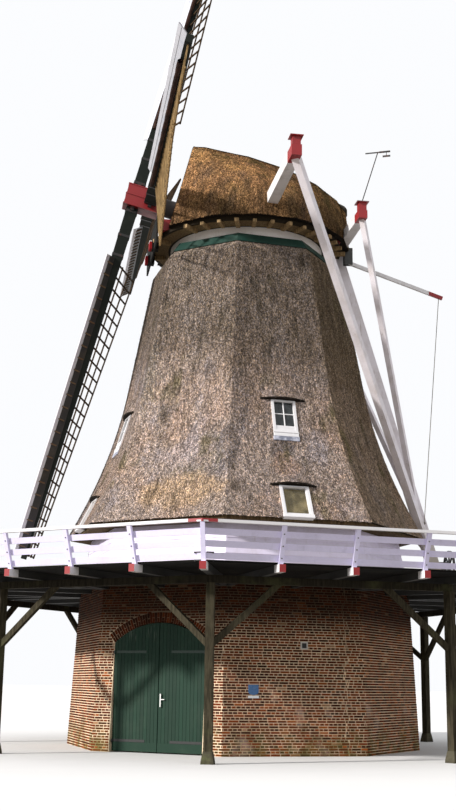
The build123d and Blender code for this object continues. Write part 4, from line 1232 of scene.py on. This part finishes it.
class MILL_OT_hub_fittings(bpy.types.Operator):
    """Fit the ribs, wedges and straps of the poll end and stocks"""

    bl_idname = "mill.hub_fittings"
    bl_label = "Hub fittings"

    def execute(self, context):
        colours = context.scene.mill_colours
        ribs, irons = Shape(), Shape()
        half, strap = 0.315, 0.012
        for low, high in ((-0.315, -0.285), (-0.015, 0.015), (0.285, 0.315)):
            ribs.block(on_sail, (-half - 0.018, half + 0.018), (low, high), (-0.74, 0.298))
        ribs.piece("poll_ribs", "sails", "red_iron", metal("poll_paint", colours.red, 0.25, 0.45), edge=0.004)
        for arm, ahead in ARMS:
            at = lambda x, y, z: on_sail(x, y, z + ahead, arm)
            for out in (0.4, 1.15, 1.75):
                width, depth = 0.15 - 0.0061 * out, 0.17 - 0.009 * out
                wide, deep = width + strap, depth + strap
                for x, z in (((-wide, wide), (depth, deep)), ((-wide, wide), (-deep, -depth)),
                             ((-wide, -width), (-deep, deep)), ((width, wide), (-deep, deep))):
                    irons.block(at, x, (out, out + 0.07), z)
            for x in (-0.2, 0.2):
                irons.block(at, (x - 0.03, x + 0.03), (0.3, 0.42), (-0.05, 0.05))
        irons.piece("stock_straps", "sails", "iron", black_iron())
        return {"FINISHED"}


def lattice_point(along, share, ahead):
    """A point of the lattice, which twists from root to tip: across, outward and ahead."""
    part = (along - BAR_FIRST) / BAR_RUN
    reach = LATTICE_WIDTH * share
    ends = [(cos(radians(twist)) * reach, -sin(radians(twist)) * reach) for twist in BAR_TWISTS]
    across, back = (low + (high - low) * part for low, high in zip(*ends))
    return across, along, back + ahead


class MILL_OT_sail_fittings(bpy.types.Operator):
    """Fit brackets and an edge batten to the leading boards, and bolts to the outer hems"""

    bl_idname = "mill.sail_fittings"
    bl_label = "Sail fittings"

    def execute(self, context):
        colours = context.scene.mill_colours
        brackets, battens, bolts = Shape(), Shape(), Shape()
        lean, rise = cos(radians(50)), sin(radians(50))
        for arm, ahead in ARMS:
            at = lambda x, y, z: on_sail(x, y, z + ahead, arm)
            board = lambda out, along, behind: at(-0.079 - out * lean - behind * rise, along,
                                                  out * rise - behind * lean)
            across = at(0, 1, 0) - at(0, 0, 0)
            for n in range(24):
                along = 2.1 + n * 0.36
                brackets.bar(board(0.1, along, 0.026), board(0.3, along, 0.026), across, 0.035, 0.03)
            battens.bar(board(0.33, 1.9, 0.0), board(0.33, BAR_FIRST + BAR_RUN, 0.0),
                        board(0.3, 2, 0) - board(0.2, 2, 0), 0.11, 0.034)
            for n in range(25):
                along = BAR_FIRST + n * BAR_RUN / 24
                bolts.bar(at(*lattice_point(along, 0.994, -0.045)), at(*lattice_point(along, 0.994, 0.026)),
                          across, 0.034, 0.034)
        brackets.piece("board_brackets", "sails", "iron", metal("bracket_iron", paint(104, 84, 60), 0.5, 0.7))
        battens.piece("board_battens", "sails", "white_paint", painted(
            "batten_paint", colours.lead_board, paint(150, 150, 150), 0.4, 0.5))
        bolts.piece("hem_bolts", "sails", "iron", black_iron())
        return {"FINISHED"}


class MILL_OT_cloths(bpy.types.Operator):
    """Roll up a cloth along each arm"""

    bl_idname = "mill.cloths"
    bl_label = "Sail cloths"

    def execute(self, context):
        turns, per_turn, lengths = 4.5, 20, 70
        first, last = 2.12, 9.88
        material = canvas("sail_canvas", context.scene.mill_colours.cloth, 700.0)
        for number, (arm, ahead) in enumerate(ARMS):
            rng = random.Random(40 + number)
            phases = [rng.uniform(0, 6.28) for _ in range(4)]
            points, steps = [], int(turns * per_turn)
            for j in range(lengths + 1):
                out = first + (last - first) * j / lengths
                half = (0.3 + (0.17 - 0.3) * out / 10.7) / 2
                swell = 1.0 - 0.1 * (0.5 + 0.5 * cos(2 * pi * (out - first) / 0.65)) ** 6
                swell *= 1.0 + 0.03 * sin(out * 5.1 + phases[0])
                for i in range(steps + 1):
                    angle = 2 * pi * i / per_turn
                    radius = (0.012 + 0.049 * i / steps) * swell
                    radius *= 1.0 + 0.02 * sin(angle * 3 + out * 7 + phases[1])
                    x = half + 0.0625 + radius * cos(angle + phases[2])
                    points.append(on_sail(x, out, 0.07 + ahead + radius * sin(angle + phases[2]), arm))
            mesh = bpy.data.meshes.new(f"rolled_cloth_{number + 1}")
            mesh.from_pydata([tuple(p) for p in points], [], weave_faces(lengths, steps))
            roll = settle(f"rolled_cloth_{number + 1}", mesh, "sails", material,
                          ("rolled_cloths",), smooth=True)
        return {"FINISHED"}


class MILL_OT_brake_rope(bpy.types.Operator):
    """Hang the brake rope from the lever's tip"""

    bl_idname = "mill.brake_rope"
    bl_label = "Brake rope"

    def execute(self, context):
        top, foot = on_cap(-5.62, 0.42, 12.59), on_cap(-5.1, 0.205, 6.05)
        places = [top.lerp(foot, share) for share in (0.0, 0.05, 0.35, 0.65, 0.95, 1.0)]
        rope, line = self.lay_line(context, "brake_rope_line", "NURBS", places, 3)
        line.order_u, line.use_endpoint_u, line.resolution_u = 3, True, 12
        knot = self.tie_knot(context, foot)
        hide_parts("brake_rope")
        return {"FINISHED"}

    def tie_knot(self, context, place):
        """A tight overhand knot that keeps the rope's end from fraying."""
        count, size = 48, 0.012
        places = []
        for n in range(count):
            turn = 2 * pi * n / count
            ahead = sin(turn) + 2 * sin(2 * turn)
            aside = cos(turn) - 2 * cos(2 * turn)
            places.append(place + size * Vector((ahead, sin(3 * turn), aside)))
        knot, line = self.lay_line(context, "brake_rope_knot", "POLY", places, 2)
        line.use_cyclic_u = True
        return knot

    def lay_line(self, context, name, kind, places, roundness):
        """A length of the rope along some places."""
        curve = bpy.data.curves.new(name, "CURVE")
        curve.dimensions = "3D"
        curve.bevel_depth, curve.bevel_resolution = ROPE_WIDTH / 2, roundness
        line = curve.splines.new(kind)
        line.points.add(len(places) - 1)
        for point, place in zip(line.points, places):
            point.co = (*place, 1.0)
        curve.materials.append(hemp_rope())
        rope = bpy.data.objects.new(name, curve)
        context.scene.collection.objects.link(rope)
        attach(rope, "brake_lever")
        return rope, line


class MILL_OT_finishes(bpy.types.Operator):
    """Give every solid that shows its own finish"""

    bl_idname = "mill.finishes"
    bl_label = "Finishes"

    def execute(self, context):
        c = context.scene.mill_colours
        white = painted("white_paint", c.white, paint(168, 160, 154), 0.4, 0.45)
        dark = painted("black_paint", paint(34, 35, 34), paint(70, 66, 58), 0.5, 0.5)
        post = old_timber("post_timber", c.dark_timber, 0.35)
        # The lavender in the rails' white and in their dirt is painted shade: the blue of skylight on shaded
        # white.
        rail = painted("rail_paint", paint(232, 226, 255), paint(168, 160, 188), 0.35, 0.5)
        iron = black_iron()
        lattice = old_timber("lattice_timber", c.lattice, 0.1)
        # Painted shade: the up, down and far arms get a dark copy of the lattice timber, as laths seen
        # against the sky.
        shaded_lattice = old_timber("dark_lattice_timber", paint(66, 52, 38), 0.1)
        chosen = {
            "base_wall_left_of_door": joint_mortar(), "base_wall_right_of_door": joint_mortar(),
            "base_wall_door_arch": joint_mortar(), "base_walls_diagonal": joint_mortar(),
            "base_walls_straight": joint_mortar(),
            "ground_floor": brick_work(),
            "stage_level_floor": old_timber("floor_timber", paint(132, 108, 82), 0.0),
            "upper_floor": old_timber("floor_timber", paint(132, 108, 82), 0.0),
            "door_pins": iron, "left_door_irons": door_irons(), "right_door_irons": door_irons(),
            "stage_stones": rubble_stone(paint(84, 80, 66)),
            "stage_posts": post, "stage_knee_braces": post,
            # Painted shade: the ring beams get the near-black of their shaded sides, darker than the timber's
            # own colour.
            "stage_ring_beams": old_timber("beam_timber", paint(42, 38, 30), 0.4),
            "stage_joists": joist_paint(), "stage_deck": post,
            "railing_posts": rail, "railing_handrails": handrail_paint(),
            "railing_boards": rail,
            "boarded_wall": white,
            "thatch_edge_board": old_timber("edge_timber", paint(84, 68, 48), 0.1),
            "thatch_window_sides": reed("smock_reed", False), "thatch_plain_sides": reed("smock_reed", False),
            "window_frames": painted("window_paint", c.white, paint(170, 164, 160), 0.35, 0.4),
            "window_glass": pane(), "window_aprons": lead_sheet(),
            "green_band": painted("band_paint", c.band_green, paint(70, 90, 80), 0.5, 0.5),
            "curb_ring": painted("curb_paint", paint(252, 248, 246), paint(196, 184, 170), 0.3, 0.6),
            "cap_thatch_left": reed("cap_reed", False), "cap_thatch_right": reed("cap_reed", False),
            "cap_ridge_cover": old_timber("ridge_cover", paint(58, 52, 46), 0.3),
            "cap_front_boards": dark, "cap_turning_ring": ring_timber(),
            "cap_sheers": painted("sheer_paint", c.red, paint(90, 40, 36), 0.4, 0.45),
            "cap_rafter_feet": old_timber("foot_timber", paint(150, 126, 92), 0.1),
            "bearing_beams": post, "long_sprit": sprit_paint("long_sprit_paint", 5.9, 0.5),
            "short_sprit": sprit_paint("short_sprit_paint", 3.08, 0.42), "tail_braces": tail_paint(),
            "tail_pole": tail_paint(), "brake_lever_ears": dark, "vane": iron, "wheel_block": dark,
            "windshaft": metal("shaft_iron", paint(60, 52, 50), 0.5, 0.6),
            "poll_end": metal("poll_paint", c.red, 0.25, 0.45),
            "stocks": painted("stock_paint", c.stock, paint(76, 78, 70), 0.4, 0.85),
            "lattice_up": shaded_lattice, "lattice_near": lattice, "lattice_down": shaded_lattice, "lattice_far": shaded_lattice,
            "leading_boards": lead_board_paint(), "cap_beard": beard_paint(), "sprit_caps": sprit_cap_paint(),
            "rolled_cloths": canvas("sail_canvas", c.cloth, 700.0),
            "brake_lever": lever_paint(), "brake_rope": hemp_rope(),
            "winding_wheel": metal("wheel_paint", paint(36, 34, 36), 0.3, 0.55),
            "left_door_leaf": boarding("door_paint", c.door_green, paint(58, 76, 62), 0.25),
            "right_door_leaf": boarding("door_paint", c.door_green, paint(58, 76, 62), 0.25),
        }
        missing = sorted(set(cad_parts) - set(chosen))
        if missing:
            raise RuntimeError(f"no finish for {missing}")
        for name, material in chosen.items():
            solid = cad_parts[name]
            if not solid.material_slots:
                solid.data.materials.append(material)
            for place in solid.material_slots:
                place.material = material
        return {"FINISHED"}


class MILL_OT_stage_set(bpy.types.Operator):
    """Set up the floor, the soft light and the camera"""

    bl_idname = "mill.stage_set"
    bl_label = "Floor, light and camera"

    def execute(self, context):
        mesh = bpy.data.meshes.new("floor")
        reach = 400.0
        mesh.from_pydata([(-reach, -reach, 0), (reach, -reach, 0), (reach, reach, 0), (-reach, reach, 0)], [],
                         [(0, 1, 2, 3)])
        ground = Finish("floor_cover", 0.95)
        shown = ground.mix(paint(226, 225, 224), paint(232, 231, 230), ground.noise(0.6))
        ground.set(Base_Color=ground.mix(paint(128, 122, 114), shown, ground.seen()))
        mesh.materials.append(ground.material)
        floor_cover = bpy.data.objects.new("floor", mesh)
        context.scene.collection.objects.link(floor_cover)
        self.light(context)
        self.camera(context)
        context.scene.view_settings.view_transform = "Standard"
        return {"FINISHED"}

    def light(self, context):
        world = bpy.data.worlds.new("soft_sky")
        context.scene.world = world
        world.use_nodes = True
        nodes = Nodes(world.node_tree)
        sky = world.node_tree.nodes["Background"]
        sky.inputs["Color"].default_value = (0.97, 0.98, 1.0, 1.0)
        nodes.feed(sky.inputs["Strength"], nodes.seen() * 0.18 + 0.82)
        lamp = bpy.data.lights.new("key", "SUN")
        lamp.energy, lamp.angle, lamp.color = 4.6, radians(4), (1.0, 0.97, 0.93)
        key = bpy.data.objects.new("key", lamp)
        context.scene.collection.objects.link(key)
        flat_reach = cos(SUN_HEIGHT)
        toward = Vector((sin(SUN_AZIMUTH) * flat_reach, -cos(SUN_AZIMUTH) * flat_reach, sin(SUN_HEIGHT)))
        key.rotation_euler = toward.to_track_quat("Z", "Y").to_euler()

    def camera(self, context):
        data = bpy.data.cameras.new("camera")
        data.sensor_fit, data.sensor_width, data.lens = "AUTO", 36.0, 36.0 * PHOTO_LENS / PHOTO_HEIGHT
        data.clip_end = 1000.0
        camera = bpy.data.objects.new("camera", data)
        context.scene.collection.objects.link(camera)
        level = cos(CAMERA_PITCH)
        forward = Vector((-sin(CAMERA_TURN) * level, cos(CAMERA_TURN) * level, sin(CAMERA_PITCH)))
        view = forward.to_track_quat("-Z", "Y").to_matrix().to_4x4()
        roll = Matrix.Rotation(CAMERA_ROLL, 4, "Z")
        camera.matrix_world = Matrix.Translation(CAMERA_PLACE) @ view @ roll
        context.scene.camera = camera


def measure(name, description, default, least):
    """A length that a user can change."""
    return FloatProperty(name=name, description=description, default=default, min=least, unit="LENGTH")


def tufts(name, description, default):
    """A number of reed ends that a user can change."""
    return IntProperty(name=name, description=description, default=default, min=1000)


def swatch(name, description, chip):
    """A colour that a user can change, from its paint chip."""
    return FloatVectorProperty(name=name, description=description, default=paint(*chip), size=4,
                               subtype="COLOR", min=0.0, max=1.0)


class MillSizes(bpy.types.PropertyGroup):
    course_height: measure("Course height", "One course of bricks with its joint", 0.062, 0.04)
    brick_length: measure("Brick length", "Length of one brick", 0.225, 0.1)
    joint_width: measure("Joint width", "Width of the mortar joints", 0.015, 0.004)
    reed_length: measure("Reed length", "Length of the reed ends that show", 0.06, 0.02)
    reed_width: measure("Reed width", "Width of a tuft of reed ends", 0.013, 0.004)
    smock_reeds: tufts("Smock reeds", "Tufts on each set of smock sides", 190000)
    cap_reeds: tufts("Cap reeds", "Tufts on the cap", 150000)


class MillColours(bpy.types.PropertyGroup):
    brick_dark: swatch("Dark brick", "The hardest fired bricks", (84, 42, 24))
    brick_red: swatch("Red brick", "Most of the bricks", (140, 66, 32))
    brick_orange: swatch("Orange brick", "The softest fired bricks", (176, 96, 46))
    joint: swatch("Joint", "Mortar between the bricks", (246, 222, 190))
    reed: swatch("Smock reed", "Reed of the smock", (172, 152, 132))
    cap_reed: swatch("Cap reed", "Reed of the cap", (176, 126, 70))
    moss: swatch("Moss", "Moss on the reed", (92, 88, 48))
    white: swatch("White", "Paint of rails, beams and windows", (232, 230, 232))
    red: swatch("Red", "Paint of beam ends and the hub", (146, 34, 38))
    door_green: swatch("Door green", "Paint of the doors", (22, 52, 38))
    band_green: swatch("Band green", "Paint of the band under the cap", (24, 58, 50))
    dark_timber: swatch("Dark timber", "Posts and beams of the stage", (60, 55, 43))
    stock: swatch("Stock", "Paint of the stocks", (36, 40, 37))
    lattice: swatch("Lattice", "Laths of the sails", (150, 124, 86))
    lead_board: swatch("Leading board", "Boards along the leading edges", (206, 206, 214))
    cloth: swatch("Sail cloth", "Canvas of the sails", (62, 44, 38))


class MILL_PT_panel(bpy.types.Panel):
    """Sizes, colours and steps of the windmill"""

    bl_idname = "MILL_PT_panel"
    bl_label = "Windmill"
    bl_space_type = "VIEW_3D"
    bl_region_type = "UI"
    bl_category = "Windmill"

    def draw(self, context):
        for group in (context.scene.mill_sizes, context.scene.mill_colours):
            box = self.layout.box()
            for name in group.bl_rna.properties.keys():
                if name not in ("rna_type", "name"):
                    box.prop(group, name)
        for step in STEPS:
            self.layout.operator(step.bl_idname)


STEPS = (
    MILL_OT_stage_set, MILL_OT_brake_rope, MILL_OT_finishes, MILL_OT_bricks, MILL_OT_reed, MILL_OT_deck,
    MILL_OT_wall_boards, MILL_OT_windows, MILL_OT_doors, MILL_OT_stage_fittings, MILL_OT_stones,
    MILL_OT_rafter_feet, MILL_OT_wall_fittings, MILL_OT_hub_fittings, MILL_OT_sail_fittings, MILL_OT_cloths,
)
CLASSES = (MillSizes, MillColours, *STEPS, MILL_PT_panel)


def register():
    for kind in CLASSES:
        bpy.utils.register_class(kind)
    bpy.types.Scene.mill_sizes = PointerProperty(type=MillSizes)
    bpy.types.Scene.mill_colours = PointerProperty(type=MillColours)


def unregister():
    del bpy.types.Scene.mill_colours
    del bpy.types.Scene.mill_sizes
    for kind in reversed(CLASSES):
        bpy.utils.unregister_class(kind)


def main():
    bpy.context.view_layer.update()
    register()
    bpy.ops.mill.stage_set()
    bpy.ops.mill.brake_rope()
    bpy.ops.mill.finishes()
    bpy.ops.mill.bricks()
    bpy.ops.mill.reed()
    bpy.ops.mill.deck()
    bpy.ops.mill.wall_boards()
    bpy.ops.mill.windows()
    bpy.ops.mill.doors()
    bpy.ops.mill.stage_fittings()
    bpy.ops.mill.stones()
    bpy.ops.mill.rafter_feet()
    bpy.ops.mill.wall_fittings()
    bpy.ops.mill.hub_fittings()
    bpy.ops.mill.sail_fittings()
    bpy.ops.mill.cloths()


if __name__ == "__main__":
    main()
